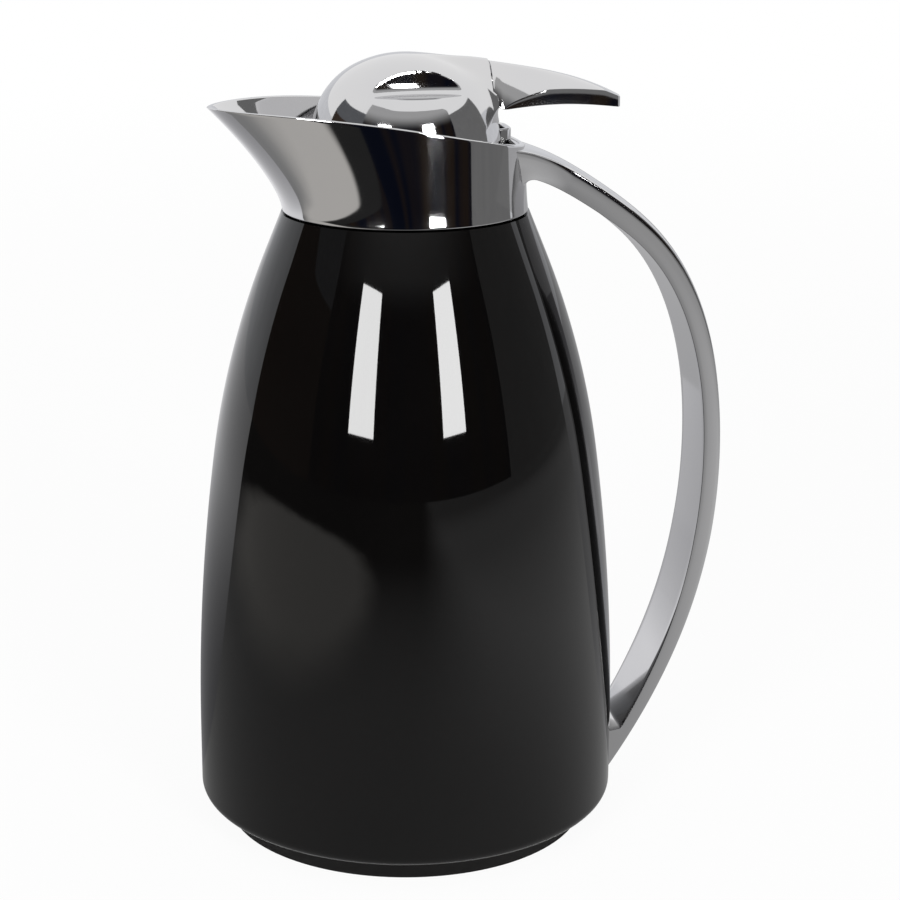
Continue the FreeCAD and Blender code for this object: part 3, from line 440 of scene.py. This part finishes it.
bm = bmesh.new()
bottom = ring = first_ring(bm, collar_level(COLLAR_BOTTOM, 0, 0))
for level in range(1, OUTER_LEVELS + 1):
    ring = next_ring(bm, ring, collar_level(COLLAR_BOTTOM, 0, level / OUTER_LEVELS))
rim_out = ring
rim_in = ring = next_ring(bm, ring, [rim_point(angle, COLLAR_WALL) for angle in turn_angles])
for level in range(1, INNER_LEVELS + 1):
    ring = next_ring(bm, ring, collar_level(FLOOR_HEIGHT, COLLAR_WALL, 1 - level / INNER_LEVELS))
underside = FLOOR_HEIGHT - FLOOR_THICKNESS
ring = next_ring(bm, ring, circle(MOUTH_RADIUS, FLOOR_HEIGHT))
ring = next_ring(bm, ring, circle(MOUTH_RADIUS, underside))
ring = next_ring(bm, ring, circle(COLLAR_RADIUS - COLLAR_WALL, underside))
ring = next_ring(bm, ring, circle(COLLAR_RADIUS - COLLAR_WALL, COLLAR_BOTTOM))
bmesh.ops.bridge_loops(bm, edges=ring_edges(bm, ring) + ring_edges(bm, bottom))
rounded = ring_edges(bm, rim_out) + ring_edges(bm, rim_in) + ring_edges(bm, bottom)
bmesh.ops.bevel(bm, geom=rounded, offset=RIM_ROUND, offset_type="OFFSET", affect="EDGES", segments=4,
                profile=0.5, material=-1)
finish_piece("collar_cup", bm, "chrome", "jug", ["collar"], sharp=40.0)

# %% [markdown]
# Behind the lid stands the hinge's shroud: a wall bent round in a U, open on top and towards the lid.
# Its plan is a line with two quarter turns, extruded upwards. A Solidify modifier gives the wall its
# thickness, and a Bevel modifier rounds its edges.

# %% Hinge tower
TOWER_HALF = 8.7
TOWER_FRONT = 25.0
TOWER_REAR = 32.05
TOWER_CORNER = 6.0
TOWER_BOTTOM = 210.5
TOWER_TOP = 228.2
TOWER_WALL = 1.9
TOWER_ROUND = 0.6
CORNER_STEPS = 10


def plan_line_to(bm, vert, x, y):
    end = bmesh.ops.extrude_vert_indiv(bm, verts=[vert])["verts"][0]
    end.co = (x, y, TOWER_BOTTOM)
    return end


def plan_arc_to(bm, vert, x, y):
    swept = bmesh.ops.spin(bm, geom=[vert], cent=(x, y, TOWER_BOTTOM), axis=(0, 0, 1),
                           angle=math.pi / 2, steps=CORNER_STEPS, use_merge=False)
    return verts_of(swept["geom_last"])[0]


bm = bmesh.new()
corner_x, corner_y = TOWER_REAR - TOWER_CORNER, TOWER_HALF - TOWER_CORNER
tip = bm.verts.new((TOWER_FRONT, -TOWER_HALF, TOWER_BOTTOM))
tip = plan_line_to(bm, tip, corner_x, -TOWER_HALF)
tip = plan_arc_to(bm, tip, corner_x, -corner_y)
tip = plan_line_to(bm, tip, TOWER_REAR, corner_y)
tip = plan_arc_to(bm, tip, corner_x, corner_y)
plan_line_to(bm, tip, TOWER_FRONT, TOWER_HALF)
wall = bmesh.ops.extrude_edge_only(bm, edges=bm.edges[:])["geom"]
bmesh.ops.translate(bm, vec=(0, 0, TOWER_TOP - TOWER_BOTTOM), verts=verts_of(wall))
hinge_tower = finish_piece("hinge_tower", bm, "chrome", "jug")
thickness = hinge_tower.modifiers.new("wall", "SOLIDIFY")
thickness.thickness = TOWER_WALL * MM
thickness.offset = 0.0
rounding = hinge_tower.modifiers.new("rounded_edges", "BEVEL")
rounding.width = TOWER_ROUND * MM
rounding.segments = 3

# %% [markdown]
# The handle is one arm from the collar's rear wall down to the body. Its path is a chain of Bezier
# pieces through seven points, each given with its height and the direction of the arm there. Bezier
# pieces suit it because neighbours share a direction, so the arm has no kinks.

# %% Handle path
HANDLE_PATH = [
    (27.0, 219.87, -10.8),
    (45.6, 214.1, -25.7),
    (59.6, 205.8, -33.85),
    (78.7, 190.3, -47.55),
    (99.75, 121.8, -89.4),
    (92.0, 67.0, -107.0),
    (64.9, 11.5, -124.0),
]
PIECE_STEPS = (40, 22, 18, 24, 20, 60)


def arm_direction(degrees):
    return Vector((math.cos(math.radians(degrees)), 0, math.sin(math.radians(degrees))))


def handle_path():
    """Places along the middle line, close to each other."""
    places = []
    for (x0, z0, turn0), (x1, z1, turn1), steps in zip(HANDLE_PATH, HANDLE_PATH[1:], PIECE_STEPS):
        start, end = Vector((x0, 0, z0)), Vector((x1, 0, z1))
        third = (end - start).length / 3
        leave = start + arm_direction(turn0) * third
        arrive = end - arm_direction(turn1) * third
        places += interpolate_bezier(start, leave, arrive, end, steps + 1)[:-1]
    places.append(end)
    return places


places = handle_path()
total = sum((second - first).length for first, second in zip(places, places[1:]))
print("the handle is", round(total), "mm long")

# %% [markdown]
# A section is carried along the path: a flat inner face, slightly bowed flanks and a crowned outer face.
# It is thicker towards the collar and thinner at the lower end. Near the collar the flanks flare out into
# the wall and the underside drops in a small fillet, while the middle of the root runs on to the tower.
# At the lower end the inner face steps over to the body, which closes the narrow gap with a little shelf.

# %% Handle section
HANDLE_HALF = 12.5
HANDLE_THICK = 5.5
ROOT_THICKER = 2.3
ROOT_SHARE = 0.45
END_THINNER = 1.9
END_SHARE = 0.65
CROWN = 2.0
ROOT_FLATTER = 1.0
FLARE = 30.0
INNER_COLUMNS = 10
OUTER_COLUMNS = 16
FLANK_COLUMNS = 3
FLANK_BOW = 0.12
ROOT_FILLET = 4.5
ROOT_SINK = 1.6
ROOT_ABOVE = 100.0
TONGUE_HALF = 15.0
SHELF_HEIGHT = 25.0
SHELF_REACH = 12.0
SHELF_SINK = 4.0
SHELF_SOFT = 0.8


def eased(share):
    share = min(1.0, max(0.0, share))
    return share * share * (3 - 2 * share)


def fitted_to_jug(point):
    """Lowers the underside into the root's fillet, or steps it over to the body."""
    if point.z > ROOT_ABOVE:
        from_wall = math.hypot(point.x, point.y) - RIM_REAR
        into_fillet = min(1.0, max(0.0, 1 - from_wall / ROOT_FILLET))
        point.z -= ROOT_FILLET * (1 - math.sqrt(1 - into_fillet ** 2))
    elif point.x < BODY_RADIUS + SHELF_REACH:
        step = eased((SHELF_HEIGHT + SHELF_SOFT - point.z) / (2 * SHELF_SOFT))
        point.x += (BODY_RADIUS - SHELF_SINK - point.x) * step
    return point


def kept_behind_bowl(point):
    """Keeps the root out of the collar's bowl, where the lid needs room."""
    wall_middle = RIM_REAR - COLLAR_WALL / 2
    if abs(point.y) < TONGUE_HALF:
        point.x = max(point.x, TOWER_REAR)
    elif point.z > ROOT_ABOVE and abs(point.y) < wall_middle:
        point.x = max(point.x, math.sqrt(wall_middle ** 2 - point.y ** 2))
    return point


def handle_section(place, along, length_share):
    """The closed outline of the handle at one place of its path."""
    root = max(0.0, 1 - length_share / ROOT_SHARE)
    end = max(0.0, (length_share - END_SHARE) / (1 - END_SHARE))
    thickness = HANDLE_THICK + ROOT_THICKER * root - END_THINNER * end
    crown = CROWN - ROOT_FLATTER * root
    flare_start = math.sqrt((RIM_REAR - ROOT_SINK + FLARE) ** 2 - (HANDLE_HALF + FLARE) ** 2)
    into_flare = min(1.0, max(0.0, flare_start - place.x) / FLARE)
    half = HANDLE_HALF + FLARE * (1 - math.sqrt(1 - into_flare ** 2))
    outward = along.cross(Vector((0, 1, 0))).normalized()
    points = []
    for column in range(INNER_COLUMNS + 1):
        across = 2 * column / INNER_COLUMNS - 1
        points.append(fitted_to_jug(place - outward * thickness / 2 + Vector((0, across * half, 0))))
    flank = []
    for column in range(1, FLANK_COLUMNS + 1):
        level = 2 * column / (FLANK_COLUMNS + 1) - 1
        flank.append((level * thickness / 2, half + FLANK_BOW * (1 - level ** 2)))
    points += [place + outward * rise + Vector((0, side, 0)) for rise, side in flank]
    for column in range(OUTER_COLUMNS + 1):
        across = 1 - 2 * column / OUTER_COLUMNS
        rise = thickness / 2 + crown * (1 - across ** 2)
        points.append(place + outward * rise + Vector((0, across * half, 0)))
    points += [place + outward * rise - Vector((0, side, 0)) for rise, side in reversed(flank)]
    return [kept_behind_bowl(point) for point in points]


print("one handle section has", len(handle_section(places[0], places[1] - places[0], 0.0)), "points")

# %% [markdown]
# The rings along the path give the arm, two flat faces close its ends, and bevels round its four long
# edges: wider ones inside, where fingers go, and narrow ones outside.

# %% Handle
INNER_ROUND = 1.1
OUTER_ROUND = 0.6


def long_edges(bm, rings, column):
    return [bm.edges.get((first[column], second[column])) for first, second in zip(rings, rings[1:])]


def round_edges(bm, edges, width, segments):
    bmesh.ops.bevel(bm, geom=edges, offset=width, offset_type="OFFSET", affect="EDGES", segments=segments,
                    profile=0.5, material=-1, clamp_overlap=True)


travelled = 0.0
outlines = []
for index, place in enumerate(places):
    before, after = places[max(0, index - 1)], places[min(len(places) - 1, index + 1)]
    travelled += (place - before).length
    outlines.append(handle_section(place, (after - before).normalized(), travelled / total))
bm = bmesh.new()
rings = bar(bm, outlines)
outer_start = INNER_COLUMNS + FLANK_COLUMNS + 1
inner_corners = long_edges(bm, rings, 0) + long_edges(bm, rings, INNER_COLUMNS)
outer_corners = long_edges(bm, rings, outer_start) + long_edges(bm, rings, outer_start + OUTER_COLUMNS)
round_edges(bm, inner_corners, INNER_ROUND, 4)
round_edges(bm, [side for side in outer_corners if side.is_valid], OUTER_ROUND, 3)
finish_piece("handle", bm, "chrome", "jug", sharp=60.0)

# %% [markdown]
# The lid is a dome drawn out to the rear into a tail, which the thumb lever continues. Both are written
# as a formula for the distance of a point from the surface, which is negative inside. The dome's outline
# is three tangent arcs over a straight side. The tail is an arch, and its top bows down to the seam.

# %% Dome and tail
DOME_RADIUS = 30.5
DOME_TOP = 251.58
CAP_RADIUS = 36.0
CAP_TURN = math.radians(25.0)
LEVER_SEAM = 25.9
TAIL_HIGH = 250.25
TAIL_BOW = 1.15
TAIL_MIDDLE = 12.5
TAIL_ARCH = 2.2
TAIL_HALF = 9.5
TAIL_WIDER = 2.0
TAIL_LOW = 236.6
TAIL_DEEPER = 4.0
TAIL_SPARE = 0.6
SHARE_MOST = 1.3

sine, cosine = math.sin(CAP_TURN), math.cos(CAP_TURN)
SHOULDER_RADIUS = (DOME_RADIUS - CAP_RADIUS * (sine + 1 - cosine)) / (cosine - sine)
STEP_BACK = CAP_RADIUS - SHOULDER_RADIUS
cap_centre = Vector((0.0, DOME_TOP - CAP_RADIUS))
dome_shoulder_centre = cap_centre + Vector((sine, cosine)) * STEP_BACK
side_centre = dome_shoulder_centre - Vector((cosine, sine)) * STEP_BACK


def dome_distance(point):
    spot = Vector((math.hypot(point.x, point.y), point.z))
    if spot.y < side_centre.y:
        return spot.x - DOME_RADIUS
    from_cap = spot - cap_centre
    if math.atan2(from_cap.x, from_cap.y) < CAP_TURN:
        return from_cap.length - CAP_RADIUS
    from_side = spot - side_centre
    if math.atan2(from_side.x, from_side.y) > math.pi / 2 - CAP_TURN:
        return from_side.length - CAP_RADIUS
    return (spot - dome_shoulder_centre).length - SHOULDER_RADIUS


def tail_top(x):
    return TAIL_HIGH - TAIL_BOW * ((x - TAIL_MIDDLE) / (LEVER_SEAM - TAIL_MIDDLE)) ** 2


def tail_distance(point):
    share = min(SHARE_MOST, max(0.0, point.x / LEVER_SEAM))
    half = TAIL_HALF + TAIL_WIDER * (1 - share)
    high = tail_top(point.x)
    low = TAIL_LOW - TAIL_DEEPER * (1 - share)
    across = abs(point.y) / half
    over = (point.z - low) / (high - low) + across ** TAIL_ARCH - 1
    steep = math.hypot(1 / (high - low), TAIL_ARCH * across ** (TAIL_ARCH - 1) / half)
    return max(over / steep, low - point.z, point.x - LEVER_SEAM - TAIL_SPARE)


print("shoulder arc of the dome:", round(SHOULDER_RADIUS, 2), "mm")

# %% [markdown]
# A finger scoop is pressed into each side: a curved wall, and a ledge that falls outwards. The dome and
# its tail melt into each other, least along the top, and the scoops are taken away from both. Their lip
# is crisp at the wall and soft further out.

# %% Finger scoops
SCOOP_WALL = 19.2
SCOOP_LEDGE = 240.4
SCOOP_FALL = math.tan(math.radians(6.0))
SCOOP_MIDDLE = 1.6
SCOOP_ROUND = 60.0
SCOOP_AXIS = 76.0
SCOOP_TOP = 247.5
SCOOP_LEAN = 0.07
SCOOP_UPRIGHT = 3.5
SCOOP_BELLY = 5.0
SCOOP_CREASE = 1.0
LIP_CRISP = 0.25
LIP_SOFTER = 2.6
LIP_FROM = 1.0
LIP_RUN = 3.0
MELT_TOP = 2.5
MELT_WIDER = 4.5
MELT_FROM = 2.0
MELT_RUN = 5.0


def melt(first, second, reach):
    """The smaller of two distances, with a soft change-over."""
    overlap = max(reach - abs(first - second), 0.0) / reach
    return min(first, second) - overlap * overlap * reach / 4


def before_wall(point):
    """How far a point lies in front of a finger scoop's curved wall."""
    fall = SCOOP_TOP - point.z
    swell = SCOOP_LEAN * fall + max(0.0, fall - SCOOP_UPRIGHT) ** 2 / (2 * SCOOP_BELLY)
    return SCOOP_ROUND - swell - math.hypot(point.x - SCOOP_MIDDLE, SCOOP_AXIS - abs(point.y))


def over_ledge(point):
    return point.z - SCOOP_LEDGE + (abs(point.y) - SCOOP_WALL) * SCOOP_FALL


def lid_distance(point):
    whole = dome_distance(point)
    if point.x > 0:
        below_top = eased((tail_top(point.x) - MELT_FROM - point.z) / MELT_RUN)
        whole = melt(whole, tail_distance(point), MELT_TOP + MELT_WIDER * below_top)
    from_wall = before_wall(point)
    lip = LIP_CRISP + LIP_SOFTER * eased((from_wall - LIP_FROM) / LIP_RUN)
    return -melt(-whole, -melt(from_wall, over_ledge(point), SCOOP_CREASE), lip)


print("top of the dome is off by", round(lid_distance(Vector((0, 0, DOME_TOP))), 2), "mm")

# %% [markdown]
# A fine ball of triangles is laid onto that surface along rays from inside the dome. A plane cuts it off
# at the lid's lower edge, and the edge is turned in and up to leave a recess underneath.

# %% Lid dome
DOME_HEART = Vector((4.0, 0.0, 226.0))
RAY_START = 5.0
RAY_END = 60.0
RAY_HALVINGS = 22
LID_LOW = 212.1
LID_WALL = 2.0
LID_RECESS = 4.5
LID_SHARP = 40.0


def onto_lid(direction):
    """The place where a ray from the dome's heart leaves the lid."""
    near, far = RAY_START, RAY_END
    for _ in range(RAY_HALVINGS):
        middle = (near + far) / 2
        if lid_distance(DOME_HEART + direction * middle) < 0:
            near = middle
        else:
            far = middle
    return DOME_HEART + direction * near


def open_edges(bm):
    return [side for side in bm.edges if side.is_boundary]


bm = bmesh.new()
bmesh.ops.create_icosphere(bm, subdivisions=7, radius=1.0)
for vert in bm.verts:
    vert.co = onto_lid(vert.co.normalized())
bmesh.ops.bisect_plane(bm, geom=bm.verts[:] + bm.edges[:] + bm.faces[:], plane_co=(0, 0, LID_LOW),
                       plane_no=(0, 0, -1), clear_outer=True, dist=0.0001)
inward = verts_of(bmesh.ops.extrude_edge_only(bm, edges=open_edges(bm))["geom"])
narrower = (DOME_RADIUS - LID_WALL) / DOME_RADIUS
bmesh.ops.scale(bm, vec=(narrower, narrower, 1.0), verts=inward)
upward = verts_of(bmesh.ops.extrude_edge_only(bm, edges=open_edges(bm))["geom"])
bmesh.ops.translate(bm, vec=(0, 0, LID_RECESS), verts=upward)
bmesh.ops.holes_fill(bm, edges=open_edges(bm), sides=0)
lid_dome_skin = finish_piece("lid_dome_skin", bm, "chrome", "lid", ["lid_dome"], LID_SHARP)

# %% [markdown]
# Two cuts are left: the seam where the lever is screwed on, and the room at the rear for the hinge tower.
# Plain blocks cut both out of the dome with a Boolean modifier. The blocks are only tools, so they are
# put away afterwards.

# %% Seam and notch
SEAM_LOW = 236.0
SEAM_HALF = 9.7
NOTCH_HALF = 10.4
NOTCH_FRONT = 15.3
NOTCH_TOP = 230.3
BLOCK_SPARE = 10.0


def add_block(bm, low, high):
    block = bmesh.ops.create_cube(bm, size=1.0)["verts"]
    low, high = Vector(low) * MM, Vector(high) * MM
    bmesh.ops.scale(bm, vec=high - low, verts=block)
    bmesh.ops.translate(bm, vec=(low + high) / 2, verts=block)


bm = bmesh.new()
notch_end = (DOME_RADIUS + BLOCK_SPARE, NOTCH_HALF, NOTCH_TOP)
add_block(bm, (NOTCH_FRONT, -NOTCH_HALF, LID_LOW - BLOCK_SPARE), notch_end)
seam_end = (LEVER_SEAM + BLOCK_SPARE, SEAM_HALF, DOME_TOP + BLOCK_SPARE)
add_block(bm, (LEVER_SEAM, -SEAM_HALF, SEAM_LOW), seam_end)
blocks_mesh = bpy.data.meshes.new("cutting_blocks")
bm.to_mesh(blocks_mesh)
bm.free()
blocks = bpy.data.objects.new("cutting_blocks", blocks_mesh)
bpy.context.scene.collection.objects.link(blocks)
cut = lid_dome_skin.modifiers.new("seam_and_notch", "BOOLEAN")
cut.operation = "DIFFERENCE"
cut.solver = "EXACT"
cut.object = blocks
bpy.context.view_layer.update()
evaluated = lid_dome_skin.evaluated_get(bpy.context.evaluated_depsgraph_get())
shaped = bpy.data.meshes.new_from_object(evaluated)
lid_dome_skin.modifiers.clear()
lid_dome_skin.data = shaped
bpy.data.objects.remove(blocks)
shaped.set_sharp_from_angle(angle=math.radians(LID_SHARP))
print("lid dome cut to", len(shaped.polygons), "faces")

# %% [markdown]
# The thumb lever is a bar of rings from the seam to its tip. At the seam its section is the arch of the
# dome's tail. Soon after it a flat lens starts at the lower edge of each flank and rises to an even
# height, which shows as the dark shape along the side. A crease bounds it, and the underside is flat.

# %% Lever section
LEVER_START = 26.4
LEVER_TIP = 68.6
LEVER_HIGH = 248.5
LEVER_FALL = 6.6
LEVER_DROOP = 4.9
DROOP_POWER = 3.3
LEVER_LOW = 233.8
LEVER_HOLLOW = 1.8
LEVER_HEEL = 0.1
TIP_NARROWER = 3.0
TIP_ROUND = 13.0
TIP_LEAST = 0.2
LENS_START = 0.085
LENS_RUN = 0.32
LENS_CURVE = 0.6
LENS_LEAST = 0.25
LENS_MOST = 0.85
LENS_HEIGHT = 4.7
LENS_DEPTH = 0.012
LENS_LEAN = 0.06
LENS_FULL = 6.0
TOP_COLUMNS = 24
LENS_COLUMNS = 8
LOWER_COLUMNS = 14


def lever_top(share):
    return LEVER_HIGH - LEVER_FALL * share - LEVER_DROOP * share ** DROOP_POWER


def lever_bottom(share):
    arch = LEVER_LOW + LEVER_HOLLOW * math.sin(math.pi * share)
    return arch + (TAIL_LOW - arch) * max(0.0, 1 - share / LEVER_HEEL) ** 2


def lever_section(x):
    """The closed outline of the lever: its arch, then the flanks and the underside."""
    share = (x - LEVER_START) / (LEVER_TIP - LEVER_START)
    half = TAIL_HALF - TIP_NARROWER * share ** 3
    into_tip = x - LEVER_TIP + TIP_ROUND
    if into_tip > 0:
        half = min(half, math.sqrt(max(TIP_ROUND ** 2 - into_tip ** 2, TIP_LEAST ** 2)))
    top, low = lever_top(share), lever_bottom(share)
    grown = min(1.0, max(0.0, (share - LENS_START) / LENS_RUN)) ** LENS_CURVE
    ridge = low + LENS_LEAST + (min(LENS_HEIGHT, LENS_MOST * (top - low)) - LENS_LEAST) * grown
    points = []
    for column in range(TOP_COLUMNS + 1):
        across = math.cos(math.pi * column / TOP_COLUMNS)
        points.append(Vector((x, half * across, ridge + (top - ridge) * (1 - abs(across) ** TAIL_ARCH))))
    flank = (ridge - low) * min(1.0, half / LENS_FULL)
    lower = []
    for column in range(1, LOWER_COLUMNS + 1):
        down = min(1.0, column / LENS_COLUMNS)
        inward = max(0.0, (column - LENS_COLUMNS) / (LOWER_COLUMNS - LENS_COLUMNS))
        width = half + LENS_LEAN * flank * down - LENS_DEPTH * flank * math.sin(math.pi * down)
        lower.append(Vector((x, width * (1 - inward), ridge + (low - ridge) * down)))
    left = [Vector((point.x, -point.y, point.z)) for point in lower]
    return points + left + lower[:-1][::-1]


print("one lever section has", len(lever_section(LEVER_START)), "points")

# %% [markdown]
# The rings stand closer together towards the tip, where the plan turns round.

# %% Thumb lever
LEVER_RINGS = 60
RING_CROWDING = 1.6
outlines = []
for step in range(LEVER_RINGS + 1):
    share = 1 - (1 - step / LEVER_RINGS) ** RING_CROWDING
    outlines.append(lever_section(LEVER_START + (LEVER_TIP - LEVER_START) * share))
bm = bmesh.new()
bar(bm, outlines)
finish_piece("thumb_lever", bm, "chrome", "lid", ["lid_lever"], sharp=35.0)

# %% [markdown]
# The foot, the stopper, the liner and the small parts keep the model's own shapes. Each of them only gets
# the finish of its material slot, which the model's record names.

# %% Finishes on the model's own pieces
for subpart in frame["record"]["subparts"]:
    for place in frame["nodes"][subpart["node"]].material_slots:
        place.material = slot_finishes[subpart["material_slot"]]

# %% [markdown]
# The surroundings are white: the background is white paper, and chrome shows it too. Only light that
# falls on matt surfaces is weaker, so that they keep their own tone.

# %% White surroundings
MATT_LIGHT = 0.3


def between(share, first, second):
    return first + (second - first) * share


world = bpy.data.worlds.new("studio")
bpy.context.scene.world = world
world.use_nodes = True
sky = Nodes(world.node_tree)
seen = sky.node("ShaderNodeLightPath", {}, {}, "Is Camera Ray")
for kind in ("Is Glossy Ray", "Is Transmission Ray"):
    other = sky.node("ShaderNodeLightPath", {}, {}, kind)
    seen = sky.node("ShaderNodeMath", {"operation": "MAXIMUM"}, {0: seen, 1: other})
backdrop = world.node_tree.nodes["Background"]
backdrop.inputs["Color"].default_value = (1.0, 1.0, 1.0, 1.0)
sky.plug(between(seen, MATT_LIGHT, 1.0), backdrop.inputs["Strength"])
print("world ready")

# %% [markdown]
# The floor is the same paper. To the camera it glows almost white, and near the jug a little of its own
# shading stays in the mix, which keeps the soft shadow.

# %% Floor
FLOOR_SIZE = 6.0
NEAR_WHITENESS = 0.94


def length(finish, vector):
    return finish.node("ShaderNodeVectorMath", {"operation": "LENGTH"}, {0: vector}, 1)


def ramp(finish, value, start, end):
    """A soft step from 0 at start to 1 at end."""
    return finish.node("ShaderNodeMapRange", {"interpolation_type": "SMOOTHSTEP"},
                       {"Value": value, "From Min": start, "From Max": end})


def stage_piece(name, bm, finish):
    mesh = bpy.data.meshes.new(name)
    bm.to_mesh(mesh)
    bm.free()
    mesh.materials.append(finish)
    piece = bpy.data.objects.new(name, mesh)
    bpy.context.scene.collection.objects.link(piece)
    return piece


paper = Finish("studio_floor", Base_Color=(0.85, 0.85, 0.85, 1.0), Roughness=0.9)
glow = paper.node("ShaderNodeEmission", {}, {})
whiteness = between(ramp(paper, length(paper, paper.place), 0.5, 2.0), NEAR_WHITENESS, 1.0)
share = whiteness * paper.node("ShaderNodeLightPath", {}, {}, "Is Camera Ray")
shading = Link(paper, paper.shader.outputs[0])
mixed = paper.node("ShaderNodeMixShader", {}, {0: share, 1: shading, 2: glow})
paper.plug(mixed, paper.tree.nodes["Material Output"].inputs["Surface"])
bm = bmesh.new()
bmesh.ops.create_grid(bm, x_segments=1, y_segments=1, size=FLOOR_SIZE)
stage_piece("studio_floor", bm, paper.material)
print("floor ready")

# %% [markdown]
# Chrome and lacquer have no look of their own: they show what stands around them. A photographer places
# cards for that. Each card here is a line swept round the jug. It glows by itself, is hidden from the
# camera and throws no shadow.

# %% Cards
CARD_STEPS = 24
DARK_SHARE = 0.8


def glowing(name):
    return Finish(name, Base_Color=(0.0, 0.0, 0.0, 1.0), Roughness=1.0, Specular_IOR_Level=0.0,
                  Emission_Strength=1.0)


def plain(name, colour):
    finish = glowing(name)
    darker = [DARK_SHARE * part for part in colour]
    finish.feed("Emission Color", finish.blend(finish.noise(3.0, 3.0), darker, colour))
    return finish


def card(name, bearings, start, end, finish):
    """Sweeps a line between two bearings, in degrees from -Y to +X. Its ends are distance and height."""
    first, last = [math.radians(bearing) for bearing in bearings]
    bm = bmesh.new()
    ends = [(away * math.sin(first), -away * math.cos(first), height) for away, height in (start, end)]
    bm.edges.new([bm.verts.new(place) for place in ends])
    bmesh.ops.spin(bm, geom=bm.verts[:] + bm.edges[:], cent=(0, 0, 0), axis=(0, 0, 1),
                   angle=last - first, steps=CARD_STEPS, use_merge=False)
    piece = stage_piece(name, bm, finish.material)
    piece.visible_camera = False
    piece.visible_shadow = False
    piece.visible_diffuse = False


print("card helpers ready")

# %% [markdown]
# A dark curtain behind the camera makes the middle of the collar and the body black and fades to grey
# overhead. A brown and a smoky card stand on the left, a grey one on the right and a pale one behind.

# %% Standing cards
ROOM = 4.5
LEFT = (-118, -68)
FRONT = (-68, 54)
RIGHT = (54, 104)
BACK = (104, 242)

curtain = glowing("dark_curtain")
folds = curtain.noise(1.0, 3.0, (1.0, 1.0, 0.04))
fold_step = curtain.node("ShaderNodeMapRange", {}, {"Value": folds, "From Min": 0.42, "From Max": 0.62})
cloth = curtain.blend(fold_step, (0.003, 0.004, 0.009), (0.016, 0.011, 0.008))
height = curtain.node("ShaderNodeSeparateXYZ", {}, {"Vector": curtain.place}, "Z")
overhead = ramp(curtain, height, 2.3, 3.9)
curtain.feed("Emission Color", curtain.blend(overhead, cloth, (0.45, 0.45, 0.45)))
card("dark_curtain", FRONT, (ROOM, 0.0), (ROOM, 5.2), curtain)
card("brown_card", LEFT, (ROOM, 0.0), (ROOM, 2.0), plain("brown_card", (0.05, 0.036, 0.029)))
card("smoke_card", LEFT, (ROOM + 0.1, 0.0), (ROOM + 0.1, 3.4), plain("smoke_card", (0.13, 0.135, 0.145)))
card("grey_card", RIGHT, (ROOM, 0.0), (ROOM, 3.1), plain("grey_card", (0.19, 0.19, 0.19)))
card("back_card", BACK, (ROOM, 0.0), (ROOM, 1.5), plain("back_card", (0.80, 0.81, 0.84)))
print("standing cards ready")

# %% [markdown]
# A grey cloth covers the table. Its glow is painted light: brightest near the jug and darker with the
# distance, with a paler glow on the right, and beige paper lies on its left. Behind the jug the cloth is
# paler, with a painted shadow close to the foot.

# %% Lying cards
CLOTH_START = (0.066, 0.0005)
CLOTH_END = (ROOM, 0.0005)
PAPER_MIDDLE = (-0.75, -0.30, 0.0)
PAPER_HALF = (0.50, 0.62, 1.0)

table = glowing("lit_table_cloth")
away = length(table, table.place)
rightward = table.node("ShaderNodeSeparateXYZ", {}, {"Vector": table.place}, "X")
# Painted light: the cloth glows brightest near the jug and fades to dark with the distance.
painted_front_glow = between(ramp(table, away, 0.15, 1.1), 0.27, 0.02)
# Painted light: a paler glow is added on the right, weaker further away.
painted_right_glow = ramp(table, rightward, -0.05, 0.35) * between(ramp(table, away, 1.2, 2.6), 0.36, 0.17)
from_paper = table.node("ShaderNodeMapping", {"vector_type": "TEXTURE"},
                        {"Vector": table.place, "Location": PAPER_MIDDLE, "Scale": PAPER_HALF})
on_paper = ramp(table, length(table, from_paper) + 0.15 * table.noise(5.0, 3.0), 1.22, 0.85)
table.feed("Emission Color", table.blend(on_paper, painted_front_glow + painted_right_glow, (0.54, 0.525, 0.50)))
card("lit_table_cloth", (LEFT[0], RIGHT[1]), CLOTH_START, CLOTH_END, table)
card("back_cloth", (BACK[0], 180), CLOTH_START, CLOTH_END, plain("back_cloth", (0.50, 0.50, 0.51)))
shaded_left_cloth = glowing("shaded_left_cloth")
# Painted shadow: the cloth is dark close to the foot, where the jug's shadow falls, and pale from about
# 0.7 m out.
painted_shadow_fade = ramp(shaded_left_cloth, length(shaded_left_cloth, shaded_left_cloth.place), 0.12, 0.7)
shaded_left_cloth.feed("Emission Color", shaded_left_cloth.blend(painted_shadow_fade, (0.22, 0.22, 0.23), (0.86, 0.86, 0.88)))
card("shaded_left_cloth", (180, BACK[1]), CLOTH_START, CLOTH_END, shaded_left_cloth)
print("lying cards ready")

# %% [markdown]
# Two tall softboxes stand left and right of the camera. They draw the two upright bars on the body, so
# their places follow from where those bars lie. A wide softbox overhead lights the rest evenly and is
# kept out of the reflections.

# %% Lights
UPRIGHT = {"height": 1.34, "distance": 3.4, "tall": 1.48, "aim": (0, 0, 1.0)}


def soft_light(name, bearing, height, distance, width, tall, watts, aim):
    lamp = bpy.data.lights.new(name, "AREA")
    lamp.shape = "RECTANGLE"
    lamp.size, lamp.size_y = width, tall
    lamp.energy = watts
    light = bpy.data.objects.new(name, lamp)
    angle = math.radians(bearing)
    light.location = (distance * math.sin(angle), -distance * math.cos(angle), height)
    towards = Vector(aim) - light.location
    light.rotation_euler = towards.to_track_quat("-Z", "Y").to_euler()
    bpy.context.scene.collection.objects.link(light)
    return light


soft_light("left_softbox", bearing=-37, width=0.95, watts=80.0, **UPRIGHT)
soft_light("right_softbox", bearing=20, width=0.86, watts=75.0, **UPRIGHT)
top_softbox = soft_light("top_softbox", bearing=0, height=1.9, distance=0.1, width=2.4, tall=2.4,
                         watts=12.0, aim=(0, 0, 0.15))
top_softbox.visible_glossy = False
print("lights ready")
